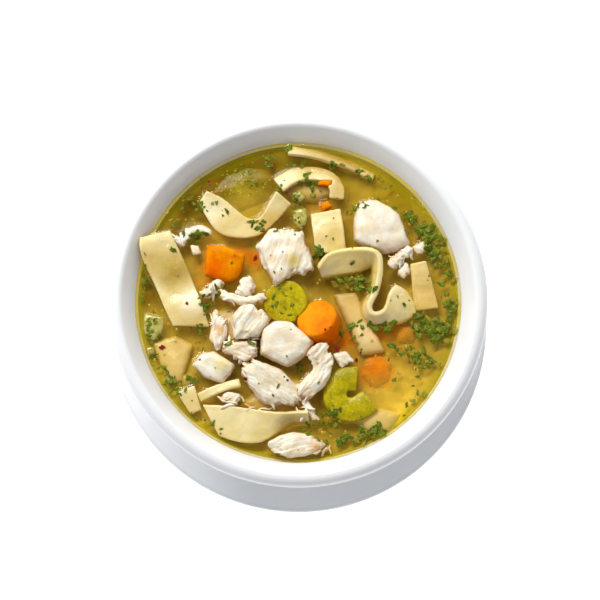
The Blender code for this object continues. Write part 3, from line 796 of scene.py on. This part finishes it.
# Heading of the fibres in degrees, width of a bundle, depth of the grooves, tearing, lumps,
# how plain the fibres show, and how rounded the piece is
CHICKEN_FORMS = {
    "chicken_smooth": (65.0, 3.2, 0.03, 0.1, 0.9, 0.15, 30),
    "chicken_cube": (12.0, 1.8, 0.07, 0.2, 0.3, 0.5, 6),
    "chicken_ridge": (75.0, 2.6, 0.26, 1.2, 1.1, 0.6, 10),
    "chicken_cluster": (60.0, 2.6, 0.30, 1.2, 1.0, 0.6, 6),
    "chicken_under_cluster": (-10.0, 2.0, 0.40, 1.6, 1.1, 0.8, 5),
    "chicken_flank": (80.0, 1.6, 0.45, 1.8, 0.9, 1.0, 5),
    "chicken_left_low": (-25.0, 2.6, 0.12, 0.3, 0.4, 0.4, 6),
    "chicken_broad": (-38.0, 2.0, 0.36, 1.8, 0.7, 0.9, 5),
    "chicken_bent": (55.0, 1.6, 0.45, 1.6, 0.7, 1.0, 5),
    "chicken_near_edge": (15.0, 2.4, 0.36, 1.8, 1.3, 0.6, 6),
}
CHICKEN_FORM = (-35.0, 1.2, 0.30, 1.0, 0.5, 0.8, 5)
# How much broader than its solid chicken is drawn, before its lumps and tears
CHICKEN_SPREAD = 1.06


def build_chicken(node, look, seed):
    heading, bundle, groove, tearing, lumps, shown, roundness = CHICKEN_FORMS.get(node, CHICKEN_FORM)
    mesh = rounded_copy(node, MEAT_GRID, roundness)
    turn = np.array(Matrix.Rotation(math.radians(heading), 3, "Z"))
    points, normals = points_of(mesh), normals_of(mesh)
    centre = points.mean(0)
    points = centre + (points - centre) * (CHICKEN_SPREAD, CHICKEN_SPREAD, 1.0)
    local = along_fibres(points, turn, bundle, seed)
    depth, number = cells(local, (7 * bundle, bundle, bundle), seed)
    fine_depth, fine_number = cells(local, (3 * bundle, 0.4 * bundle, 0.4 * bundle), seed + 9)
    swell = 0.5 + lumps * waves(points, 6.0, seed + 3)
    swell += groove * (number - 0.5) - groove * np.exp(-depth / 0.2)
    swell += 0.5 * groove * (fine_number - 0.5) - 0.4 * groove * np.exp(-fine_depth / 0.2)
    ends = np.abs(normals @ turn[:, 0])
    slip = ends * tearing * ((number - 0.5) * 1.8 + (fine_number - 0.5) * 0.8)
    outwards = np.sign(normals @ turn[:, 0])
    move_points(mesh, points + normals * swell[:, None] + turn[:, 0] * (slip * outwards)[:, None])
    mesh = remeshed(mesh, TORN_GRID, 1)
    local = along_fibres(points_of(mesh), turn, bundle, seed) / (6.0, 1.0, 1.0)
    give_attribute(mesh, FIBRES, local)
    give_attribute(mesh, FIBRES_SHOW, np.full(len(mesh.vertices), shown))
    return cooked(node, mesh, look, "chicken_meat")


def along_fibres(points, turn, bundle, seed):
    """The points' places along and across the meat's fibres, which wander a little."""
    local = points @ turn
    for axis in (1, 2):
        local[:, axis] += 0.5 * bundle * waves(points, 6.0, seed + axis)
    return local


def build_firm(node, look, slot, seed, relief=0.12, smoothing=4, subdivisions=2, crease_over=50.0):
    """Carrot, celery and onion: firm pieces with crisp edges and a slightly uneven skin."""
    mesh = rounded_copy(node, FOOD_GRID, smoothing, subdivisions, crease_over)
    points, normals = points_of(mesh), normals_of(mesh)
    fill = 0.6 if node == "celery_crescent" else 0.2
    swell = fill + relief * (waves(points, 4.0, seed) + 0.5 * waves(points, 1.2, seed + 1))
    move_points(mesh, points + normals * swell[:, None])
    return cooked(node, mesh, look, slot)


def kind_of(name):
    return name.split("_")[0]


def build_food():
    """Every piece of food that has its own node, in the order of their names."""
    looks = {
        "noodle": noodle_look(),
        "chicken": chicken_look(),
        "carrot": carrot_look(),
        "celery": celery_look(),
        "onion": onion_look(),
    }
    made = []
    for seed, node in enumerate(sorted(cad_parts)):
        kind = kind_of(node)
        if kind == "noodle":
            made.append(build_noodle(node, looks[kind]))
        elif kind == "chicken":
            made.append(build_chicken(node, looks[kind], seed))
        elif kind == "onion":
            made.append(build_firm(node, looks[kind], kind, seed, 0.2, smoothing=6))
        elif kind in looks:
            made.append(build_firm(node, looks[kind], kind, seed))
    return made, looks


# ------------ broth


CORE_EDGE_DEPTH = 0.3
CORE_RINGS = 80
CORE_STEPS = 120
INTO_WALL = 0.4


def build_core():
    """The cloudy broth, from the bowl's floor to where nothing shows through it any more."""
    wall = [Vector(p) for p in refined(profile_of("bowl"))]
    wall = wall[: next(i for i, p in enumerate(wall) if p.y >= LEVEL - CORE_EDGE_DEPTH)]
    below = [(p.x + INTO_WALL, p.y - INTO_WALL / 2) for p in wall[1:]]
    top_radius = below[-1][0]
    slope = (BROTH_RADIUS - 9.0, BROTH_RADIUS - 2.0, BROTH_RADIUS)
    outline = []
    for ring in range(CORE_RINGS):
        radius = top_radius * ring / CORE_RINGS
        rise = np.interp(radius, slope, (0.0, 0.5, 1.0))
        outline.append((radius, LEVEL - CORE_DEPTH + rise * (CORE_DEPTH - CORE_EDGE_DEPTH)))
    outline += below[::-1] + [(0.0, wall[0].y - INTO_WALL)]
    ob = made_object("cloudy_broth", *revolved(outline, CORE_STEPS), broth_core_look())
    points = points_of(ob.data) / MM
    open_top = np.hypot(points[:, 0], points[:, 1]) < top_radius - 6
    on_top = (points[:, 2] > LEVEL - CORE_DEPTH - 0.01) & open_top
    points[:, 2] += on_top * (0.5 * waves(points, 9.0, 5) + 0.15 * waves(points, 3.0, 6))
    move_points(ob.data, points * MM)
    return place_piece(ob, "golden_broth", "broth")


# ------------ sunk in the broth

# Name, which begins with the kind, depth of the top, how far its edge droops, and the outline
SUNK_PIECES = [
    ("carrot_low", 1.9, 3.0, [
        (28, -24), (37, -22), (44, -27), (43, -38), (34, -42), (26, -35)]),
    ("carrot_right", 2.0, 3.0, [
        (42, -9), (51, -8), (57, -13), (53, -21), (43, -21)]),
    ("celery_far", 1.5, 3.0, [
        (-42, 50), (-36, 61), (-22, 66), (-7, 60), (-10, 46), (-30, 39)]),
    ("noodle_middle", 0.25, 0.9, [
        (16, 3), (26, 4), (39, -23), (28, -25)]),
    ("noodle_far", 0.5, 1.5, [
        (-6, 53), (2, 60), (14, 59), (17, 50), (8, 46), (-3, 47)]),
    ("noodle_corner", 0.5, 1.6, [
        (22, -52), (33, -48), (46, -51), (41, -60), (30, -60)]),
    ("noodle_left", 0.35, 0.8, [
        (-66, -19), (-55, -16), (-47, -20), (-52, -37), (-58, -38)]),
    ("onion_left", 0.4, 2.5, [
        (-54, -32), (-46, -33), (-45, -41), (-52, -41)]),
    ("chicken_deep", 0.5, 3.0, [
        (-41, -6), (-30, 0), (-17, -14), (-19, -27), (-30, -31), (-40, -22)]),
    ("chicken_low", 0.4, 3.0, [
        (-27, -47), (-12, -32), (4, -36), (8, -46), (-8, -53), (-22, -53)]),
]
SUNK_THICKNESS = 4.0
SUNK_GRID = 0.7
SUNK_FIBRES_SHOW = 0.6


def share_of_outline(spots, outline):
    """0 at the outline's middle, growing to 1 at its edge."""
    middle = outline.mean(0)
    share = np.zeros(len(spots))
    for a, b in zip(outline, np.roll(outline, -1, 0)):
        across = np.array((b[1] - a[1], a[0] - b[0]))
        share = np.maximum(share, (spots - middle) @ across / ((a - middle) @ across))
    return np.minimum(share, 1.0)


def build_sunk_piece(name, depth, droop, outline, looks, seed):
    """A piece under the broth's surface that droops at its edge, where it is lost in the broth."""
    kind = kind_of(name)
    bm = bmesh.new()
    top = LEVEL - depth
    base = [bm.verts.new((x, y, top - SUNK_THICKNESS)) for x, y in outline]
    lift = [bm.verts.new((x, y, top)) for x, y in outline]
    bm.faces.new(base)
    bm.faces.new(lift[::-1])
    for a, b, c, d in zip(base, base[1:] + base[:1], lift[1:] + lift[:1], lift):
        bm.faces.new((a, b, c, d))
    bmesh.ops.recalc_face_normals(bm, faces=bm.faces)
    mesh = remeshed(finished_mesh(bm), SUNK_GRID, 16 if kind == "noodle" else 60)
    give_attribute(mesh, FIBRES_SHOW, np.full(len(mesh.vertices), SUNK_FIBRES_SHOW))
    points, normals = points_of(mesh), normals_of(mesh)
    swell = 0.3 + 0.2 * waves(points, 7.0, seed) + 0.1 * waves(points, 2.0, seed + 1)
    bend = 3.0 if kind == "noodle" else 1.8
    sunk = droop * share_of_outline(points[:, :2], np.array(outline, float)) ** bend
    move_points(mesh, points + normals * swell[:, None] - np.outer(sunk, (0, 0, 1)))
    slots = {"noodle": "egg_noodle", "chicken": "chicken_meat"}
    return place_piece(food_object("sunk_" + name, mesh, looks[kind]), slots.get(kind, kind))


# ------------ the broth's surface


# Size of a cell, and the height that stands for no food
CELL = 0.45
NO_FOOD = -9.0
# Food is read down to a depth, and counts as dry over a height and a share of its surroundings
READ_DEPTH = 3.0
DRY_OVER = 0.1
DRY_SHARE = 0.4
# How high the skin climbs, in millimetres, as a share of a piece's height and at the wall
MENISCUS_HEIGHT = 1.2
MENISCUS_REACH = 1.4
LEAST_CLIMB = 0.15
CLIMB_SHARE = 0.6
WALL_SHARE = 0.35
# How often heights are evened out
FOOD_BLURS = 6
SKIN_BLURS = 18


class Surface:
    """Heights over the broth's level on a square grid: the food's top, and the broth's skin."""

    def __init__(self, pieces):
        self.outer = BROTH_RADIUS + 2.2
        self.count = int(2 * self.outer / CELL) + 3
        self.low = -CELL * (self.count - 1) / 2
        self.food = self.food_tops(pieces)
        line = self.low + CELL * np.arange(self.count)
        self.xs, self.ys = np.meshgrid(line, line, indexing="ij")
        self.radius = np.hypot(self.xs, self.ys)
        self.skin = self.skin_heights()

    def food_tops(self, pieces):
        tops = np.full((self.count, self.count), NO_FOOD)
        for ob in pieces:
            points = points_of(ob.data) / MM
            points = points[points[:, 2] > LEVEL - READ_DEPTH]
            i, j = self.cells_of(points[:, :2].T)
            np.maximum.at(tops, (i, j), points[:, 2] - LEVEL)
        return tops

    def cells_of(self, places):
        """The numbers of the cells that places are in."""
        return np.clip(((places - self.low) / CELL).round().astype(int), 0, self.count - 1)

    def gap_to(self, x, y):
        return np.hypot(x - self.xs, y - self.ys)

    def skin_heights(self):
        """The skin climbs the wall and every piece that sticks out of it."""
        dry, tops = (self.food > DRY_OVER).astype(float), self.food
        for _ in range(FOOD_BLURS):
            dry = self.blurred(dry)
        for step, axis in itertools.product((1, -1, 2, -2), (0, 1)):
            tops = np.maximum(tops, np.roll(tops, step, axis))
        gap, (i, j) = self.nearest(dry > DRY_SHARE)
        rise = np.clip(CLIMB_SHARE * tops[i, j], LEAST_CLIMB, MENISCUS_HEIGHT)
        for _ in range(SKIN_BLURS):
            gap, rise = self.blurred(gap), self.blurred(rise)
        at_wall = np.maximum(BROTH_RADIUS + 0.9 - self.radius, 0.0)
        wall_climb = WALL_SHARE * MENISCUS_HEIGHT * np.exp(-at_wall / MENISCUS_REACH)
        climb = np.maximum(rise * np.exp(-gap / MENISCUS_REACH), wall_climb)
        spots = np.stack([self.xs.ravel(), self.ys.ravel(), np.zeros(self.xs.size)], 1)
        ripples = 0.05 * waves(spots, 11.0, 8) + 0.02 * waves(spots, 4.0, 9)
        return climb + ripples.reshape(climb.shape)

    def blurred(self, grid):
        near = sum(np.roll(grid, step, axis) for step in (1, -1) for axis in (0, 1))
        return (grid * 2 + near) / 6

    def nearest(self, marked):
        """How far the nearest marked cell is, and which it is; each cell asks ever nearer cells."""
        far = 1e3
        near_x, near_y = np.where(marked, self.xs, far), np.where(marked, self.ys, far)
        for step in (16, 8, 4, 2, 1, 1):
            for dx, dy in itertools.product((-step, 0, step), repeat=2):
                x, y = (np.roll(v, (dx, dy), (0, 1)) for v in (near_x, near_y))
                closer = self.gap_to(x, y) < self.gap_to(near_x, near_y)
                near_x, near_y = np.where(closer, x, near_x), np.where(closer, y, near_y)
        return self.gap_to(near_x, near_y), self.cells_of(np.stack([near_x, near_y]))

    def read(self, grid, x, y):
        i, j = (min(max(round((v - self.low) / CELL), 0), self.count - 1) for v in (x, y))
        return float(grid[i, j])

    def top(self, x, y, reach=0.6):
        """The skin's height at a place, or the food's round it where that is higher.

        The third highest of nine places counts, so that stray points do not.
        """
        spots = [(x + a * reach, y + b * reach) for a in (-1, 0, 1) for b in (-1, 0, 1)]
        food = sorted(self.read(self.food, *spot) for spot in spots)[-3]
        return max(food, self.read(self.skin, x, y))

    def normal(self, x, y, reach=1.2):
        across = self.top(x + reach, y) - self.top(x - reach, y)
        along = self.top(x, y + reach) - self.top(x, y - reach)
        slope = Vector((-across, -along, 2 * reach))
        slope.x, slope.y = (max(-1.6, min(1.6, v)) for v in (slope.x, slope.y))
        return slope.normalized()


def build_skin(surface):
    """The clear top of the broth, closed below by a floor that the cloudy broth hides."""
    inside = surface.radius <= surface.outer
    quad = inside[:-1, :-1] & inside[1:, :-1] & inside[:-1, 1:] & inside[1:, 1:]
    used = np.zeros_like(inside)
    for i, j in ((0, 0), (1, 0), (0, 1), (1, 1)):
        used[i : used.shape[0] - 1 + i, j : used.shape[1] - 1 + j] |= quad
    index = np.cumsum(used.ravel()).reshape(used.shape) - 1
    heights = LEVEL + surface.skin
    verts = np.stack([surface.xs[used], surface.ys[used], heights[used]], 1).tolist()
    i, j = np.nonzero(quad)
    corners = (index[i, j], index[i + 1, j], index[i + 1, j + 1], index[i, j + 1])
    faces = np.stack(corners, 1).tolist()
    close_below(verts, faces, LEVEL - CORE_DEPTH - 1.4)
    ob = made_object("clear_broth", verts, faces, broth_skin_look())
    return place_piece(ob, "golden_broth", "broth")


def close_below(verts, faces, bottom):
    """Closes a sheet into a solid with a straight side and a flat underside."""
    loop = rim_loop(faces)
    first = len(verts)
    verts.extend((verts[i][0], verts[i][1], bottom) for i in loop)
    size = len(loop)
    for k in range(size):
        n = (k + 1) % size
        faces.append((loop[n], loop[k], first + k, first + n))
    verts.append((0.0, 0.0, bottom))
    for k in range(size):
        faces.append((len(verts) - 1, first + (k + 1) % size, first + k))


def rim_loop(faces):
    """The vertices round the open edge of a sheet, in order."""
    sides = {(a, b) for face in faces for a, b in zip(face, face[1:] + face[:1])}
    after = {a: b for a, b in sides if (b, a) not in sides}
    loop = [min(after)]
    while after[loop[-1]] != loop[0]:
        loop.append(after[loop[-1]])
    return loop


# ------------ herbs, spices and drops

# Patches of parsley: x, y, half width, half height, turn in degrees, how many, flake size
PARSLEY = [
    (57, 33, 10, 3, -40, 46, 4.0), (61, 24, 5, 7, 20, 36, 3.6), (66, 14, 2.5, 8, 0, 12, 3.0),
    (68, -4, 2.5, 10, 0, 30, 3.2), (60, -13, 8, 5, -30, 60, 3.8), (54, -26, 8, 4, -25, 34, 3.4),
    (50, -40, 12, 9, 30, 14, 2.4), (27, -61, 12, 3, 15, 46, 3.6), (16, -55, 6, 6, 0, 14, 2.4),
    (12, -52, 4, 2.5, 0, 16, 2.4), (26, 9, 8, 4, -10, 30, 3.6), (33, -12, 12, 1.8, 5, 26, 3.2),
    (28, -18, 4, 4, 0, 10, 2.0), (9, 21.5, 2.4, 2.4, 0, 12, 3.0), (6, 54, 3.0, 5.0, 25, 18, 3.0),
    (-1, 45, 3, 3, 0, 10, 2.4), (0, 37, 3, 3, 0, 6, 1.8), (26, 42, 4, 1.6, 10, 16, 2.6),
    (40, 52, 10, 5, -40, 10, 1.8), (-6, 71, 2, 3, 0, 12, 2.8), (-13, 65, 3, 3, 0, 10, 2.4),
    (-2, 63, 5, 1.5, 0, 10, 2.2), (16, 62, 4, 1.5, -10, 10, 2.4), (31, 57, 6, 2, -30, 10, 2.2),
    (-26, 55, 12, 6, 0, 16, 1.8), (-46, 44, 6, 6, 40, 26, 2.2), (-55, 34, 4, 7, 30, 14, 1.9),
    (-46, 29, 3.5, 2.0, 10, 14, 3.0), (-33, 41, 2, 2, 0, 2, 2.4), (-17, 35, 5, 2, -20, 10, 2.4),
    (-8, 52, 6, 4, 0, 8, 1.8), (-70, 6, 2, 9, 0, 20, 2.2), (-66, -12, 3, 8, 0, 20, 2.0),
    (-42, -2, 3, 5, 20, 16, 2.4), (-44, -16, 4, 6, 0, 12, 2.0), (-56, -38, 3, 7, 35, 30, 2.4),
    (-47, -36, 3, 2, 0, 12, 2.4), (-62, -26, 3, 5, 0, 10, 1.8), (-40, -56, 10, 2, -35, 12, 1.8),
    (-36, 4, 2, 2, 0, 6, 2.4), (-7, -1, 6, 5, 0, 12, 1.8), (4, -58, 6, 4, 0, 10, 2.0),
    (0, 0, 66, 66, 0, 60, 1.2),
]

# Single leaves and slices of stem that lie on the food: x, y, turn, length, width
LEAVES = [
    (-31, -20.5, 5, 4.2, 1.8), (-21, -20.5, 8, 4.0, 1.7), (0.5, -30.5, 65, 4.6, 2.8),
    (-56.5, 22.5, 80, 3.2, 2.0), (-32.5, 41, 70, 2.6, 1.5), (-21, 36, -25, 4.0, 1.6),
    (47.5, -2.5, 60, 2.2, 1.4), (-9, -40, 45, 2.6, 0.9), (-24, -38, 70, 2.4, 1.0),
    (-37, 5.5, 30, 3.6, 1.2),
]

# Flakes of chilli: x, y, size
CHILLI = [
    (-19.3, 19.3, 3.0), (-50, -2, 1.6), (-61, -21.5, 2.8), (17.5, -22.6, 3.2), (26, -27.5, 2.2),
    (-23.5, -36.5, 2.2), (-40.5, 55.5, 2.0), (28, -24, 1.4), (-44, 52, 1.2), (12, -15, 1.4),
]


SPECKS_NEAR_WALL = 40


def flake(rng, length, width, curl, thickness=0.14, ring=10):
    """A thin curled leaf fragment with an uneven outline, lying flat at the origin."""
    lobes = rng.choice((2, 3, 4, 5))
    turn = rng.uniform(0, math.tau)
    twist = rng.uniform(-0.25, 0.25)
    rim = []
    for k in range(ring):
        angle = math.tau * k / ring
        reach = 0.5 * (0.95 + 0.22 * math.cos(lobes * angle + turn) + rng.uniform(-0.18, 0.18))
        rim.append((reach * length * math.cos(angle), reach * width * math.sin(angle)))
    flat = [(0.0, 0.0)] + [(x * 0.55, y * 0.55) for x, y in rim] + rim
    verts = []
    for side in (0.5, -0.5):
        for x, y in flat:
            rise = curl * (x * x / length + y * y / width) + twist * x * y / max(length, width)
            rise += 0.12 * math.sin(5.0 * x / length + 9.0 * y / width + turn)
            verts.append((x, y, rise + side * thickness))
    size = len(flat)
    faces = []
    for k in range(ring):
        n = (k + 1) % ring
        inner, outer = (1 + k, 1 + n), (1 + ring + k, 1 + ring + n)
        faces += [(0, *inner), (inner[0], outer[0], outer[1], inner[1])]
        faces += [(size, size + inner[1], size + inner[0])]
        faces += [(size + inner[0], size + inner[1], size + outer[1], size + outer[0])]
        faces += [(outer[1], outer[0], size + outer[0], size + outer[1])]
    return np.array(verts), faces


class Heap:
    """Many small things on the soup's surface, gathered into one mesh."""

    def __init__(self, surface):
        self.surface = surface
        self.verts = []
        self.faces = []

    def lay(self, solid, x, y, lift, heading, normal=None, height=None):
        """Lays a solid of vertices and faces down, along the surface where nothing else is asked."""
        verts, faces = solid
        up = self.surface.normal(x, y) if normal is None else normal
        lie = up.to_track_quat("Z", "Y").to_matrix() @ Matrix.Rotation(heading, 3, "Z")
        place = (x, y, LEVEL + (self.surface.top(x, y) if height is None else height) + lift)
        first = len(self.verts)
        self.verts.extend((verts @ np.array(lie).T + np.array(place)).tolist())
        self.faces.extend(tuple(first + i for i in face) for face in faces)

    def piece(self, name, look, slot):
        return place_piece(made_object(name, self.verts, self.faces, look), slot)


def spots_in(patches, rng):
    """Places in the patches, closer together at the middle of each, with a size for each."""
    for x, y, half_x, half_y, turn, count, size in patches:
        lean = math.radians(turn)
        for _ in range(count):
            u, v = rng.gauss(0, 0.55) * half_x, rng.gauss(0, 0.55) * half_y
            px = x + u * math.cos(lean) - v * math.sin(lean)
            py = y + u * math.sin(lean) + v * math.cos(lean)
            if math.hypot(px, py) < BROTH_RADIUS - 0.8:
                yield px, py, size * rng.uniform(0.6, 1.35)


def build_parsley(surface):
    rng = random.Random(11)
    heap = Heap(surface)
    for x, y, size in spots_in(PARSLEY, rng):
        dry = surface.read(surface.food, x, y) > 0.2
        sunk = 0.0 if dry or rng.random() < 0.6 else rng.uniform(0.3, 1.8)
        leaf = flake(rng, size, size * rng.uniform(0.4, 0.8), rng.uniform(-0.06, 0.16))
        normal = surface.normal(x, y) + Vector((rng.gauss(0, 0.16), rng.gauss(0, 0.16), 0.0))
        height = surface.top(x, y) - sunk
        heap.lay(leaf, x, y, 0.05, rng.uniform(0, math.tau), normal, height)
    for x, y, turn, length, width in LEAVES:
        leaf = flake(rng, length, width, 0.25, 0.35, ring=14)
        heap.lay(leaf, x, y, 0.15, math.radians(turn))
    return heap.piece("chopped_parsley", parsley_look(), "parsley")


# Thin shreds of meat: x, y, half width, half height, turn, how many, length
SHREDS = [
    (-38, 3, 3, 2, 35, 5, 7.0), (-30, 1, 4, 2, 10, 4, 6.0), (-36, -10, 2, 4, 80, 6, 6.0),
    (-31, -20, 3, 3, 60, 5, 5.0), (-26, -27, 4, 2, -20, 5, 5.0), (-20, -17, 2, 3, -60, 4, 5.0),
    (-30, -46, 5, 2, 15, 6, 6.0), (-16, -49, 6, 1.5, 5, 6, 6.0), (-2, -44, 3, 3, -40, 5, 7.0),
    (4, -50, 2, 3, -52, 4, 8.0), (-14, -32, 4, 2, -38, 4, 5.0), (46, 19, 4, 3, 45, 6, 6.0),
    (-56, 27, 3, 2, 20, 4, 6.0), (8, -68, 5, 2, 10, 5, 5.0),
]


def strand(rng, length, thickness, steps=10, sides=6):
    """A thin bent shred of meat along x, with pointed ends."""
    sway, lift = rng.uniform(-0.14, 0.14), rng.uniform(-0.05, 0.05)
    turn = rng.uniform(0, math.tau)
    verts = []
    for k in range(steps):
        t = 2 * k / (steps - 1) - 1
        bend = sway * length * t * t + 0.2 * math.sin(4 * t + turn)
        middle = (t * length / 2, bend, -lift * length * t * t)
        reach = thickness / 2 * (0.12 + math.sqrt(1 - t * t * 0.98)) * rng.uniform(0.8, 1.2)
        for side in range(sides):
            angle = math.tau * side / sides
            offset = (reach * 1.3 * math.cos(angle), reach * math.sin(angle))
            verts.append((middle[0], middle[1] + offset[0], middle[2] + offset[1]))
    last = (steps - 1) * sides
    faces = [tuple(reversed(range(sides))), tuple(last + side for side in range(sides))]
    for k in range(steps - 1):
        for side in range(sides):
            a, b = k * sides + side, k * sides + (side + 1) % sides
            faces.append((a, b, b + sides, a + sides))
    return np.array(verts), faces


def build_shreds(surface, look):
    rng = random.Random(21)
    heap = Heap(surface)
    for patch in SHREDS:
        for x, y, size in spots_in([patch], rng):
            shred = strand(rng, size, rng.uniform(0.5, 1.1))
            heading = math.radians(patch[4] + rng.gauss(0, 25))
            heap.lay(shred, x, y, 0.1, heading, height=min(surface.top(x, y), 2.5))
    return heap.piece("chicken_shreds", look, "chicken_meat")


def build_chilli(surface):
    rng = random.Random(5)
    heap = Heap(surface)
    spots = CHILLI + [(*near_wall(rng), rng.uniform(0.5, 0.9)) for _ in range(SPECKS_NEAR_WALL)]
    for x, y, size in spots:
        piece = flake(rng, size, size * rng.uniform(0.6, 0.9), 0.2, 0.2)
        heap.lay(piece, x, y, 0.06, rng.uniform(0, math.tau))
    return heap.piece("chilli_flakes", chilli_look(), "chilli")


def near_wall(rng, low=50.0):
    angle = rng.uniform(0, math.tau)
    radius = rng.uniform(low, BROTH_RADIUS - 1.5)
    return radius * math.cos(angle), radius * math.sin(angle)


# Groups of drops and bubbles on open broth: x, y, half width, half height, turn, how many, size
DROPS = [
    (-25, 53, 14, 8, 0, 60, 0.8), (-58, 38, 8, 14, 30, 22, 1.1), (48, -32, 18, 16, 0, 26, 1.3),
    (50, 45, 12, 12, 0, 18, 1.2), (-58, -10, 10, 14, 0, 22, 1.2), (14, -58, 14, 8, 0, 18, 1.1),
    (20, 0, 20, 20, 0, 16, 1.0), (-36, -50, 16, 8, -30, 12, 1.0),
]


def lens(radius, rise=0.3, steps=14):
    """A low round drop, closed below."""
    profile = ((0.0, 1.0), (0.5, 0.82), (0.85, 0.42), (1.0, 0.0))
    outline = [(radius * share, radius * rise * height) for share, height in profile]
    verts, faces = revolved(outline + [(0.0, -radius * 0.2)], steps)
    return np.array(verts), faces


def build_drops(surface):
    """Drops of oil and bubbles that float on the broth."""
    rng = random.Random(3)
    heap = Heap(surface)
    upright = Vector((0.0, 0.0, 1.0))
    for x, y, size in spots_in(DROPS, rng):
        if surface.read(surface.food, x, y) <= -0.3:
            heap.lay(lens(size / 2), x, y, 0.0, 0.0, upright, surface.read(surface.skin, x, y))
    return heap.piece("oil_drops", oil_look(), "golden_broth")


# ------------ all


def build_soup():
    food, looks = build_food()
    build_core()
    for seed, (name, depth, droop, outline) in enumerate(SUNK_PIECES):
        build_sunk_piece(name, depth, droop, outline, looks, seed)
    surface = Surface(food)
    build_shreds(surface, looks["chicken"])
    build_skin(surface)
    build_parsley(surface)
    build_chilli(surface)
    build_drops(surface)


def write_sizes():
    """The box of the CAD model and the box of what is shown, turned into plain lists and not used
    further.
    """
    boxes = {"cad": cad_box, "visual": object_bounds()}
    plain = {name: [list(corner) for corner in box] for name, box in boxes.items()}


add_studio()
build_dish()
build_soup()
write_sizes()
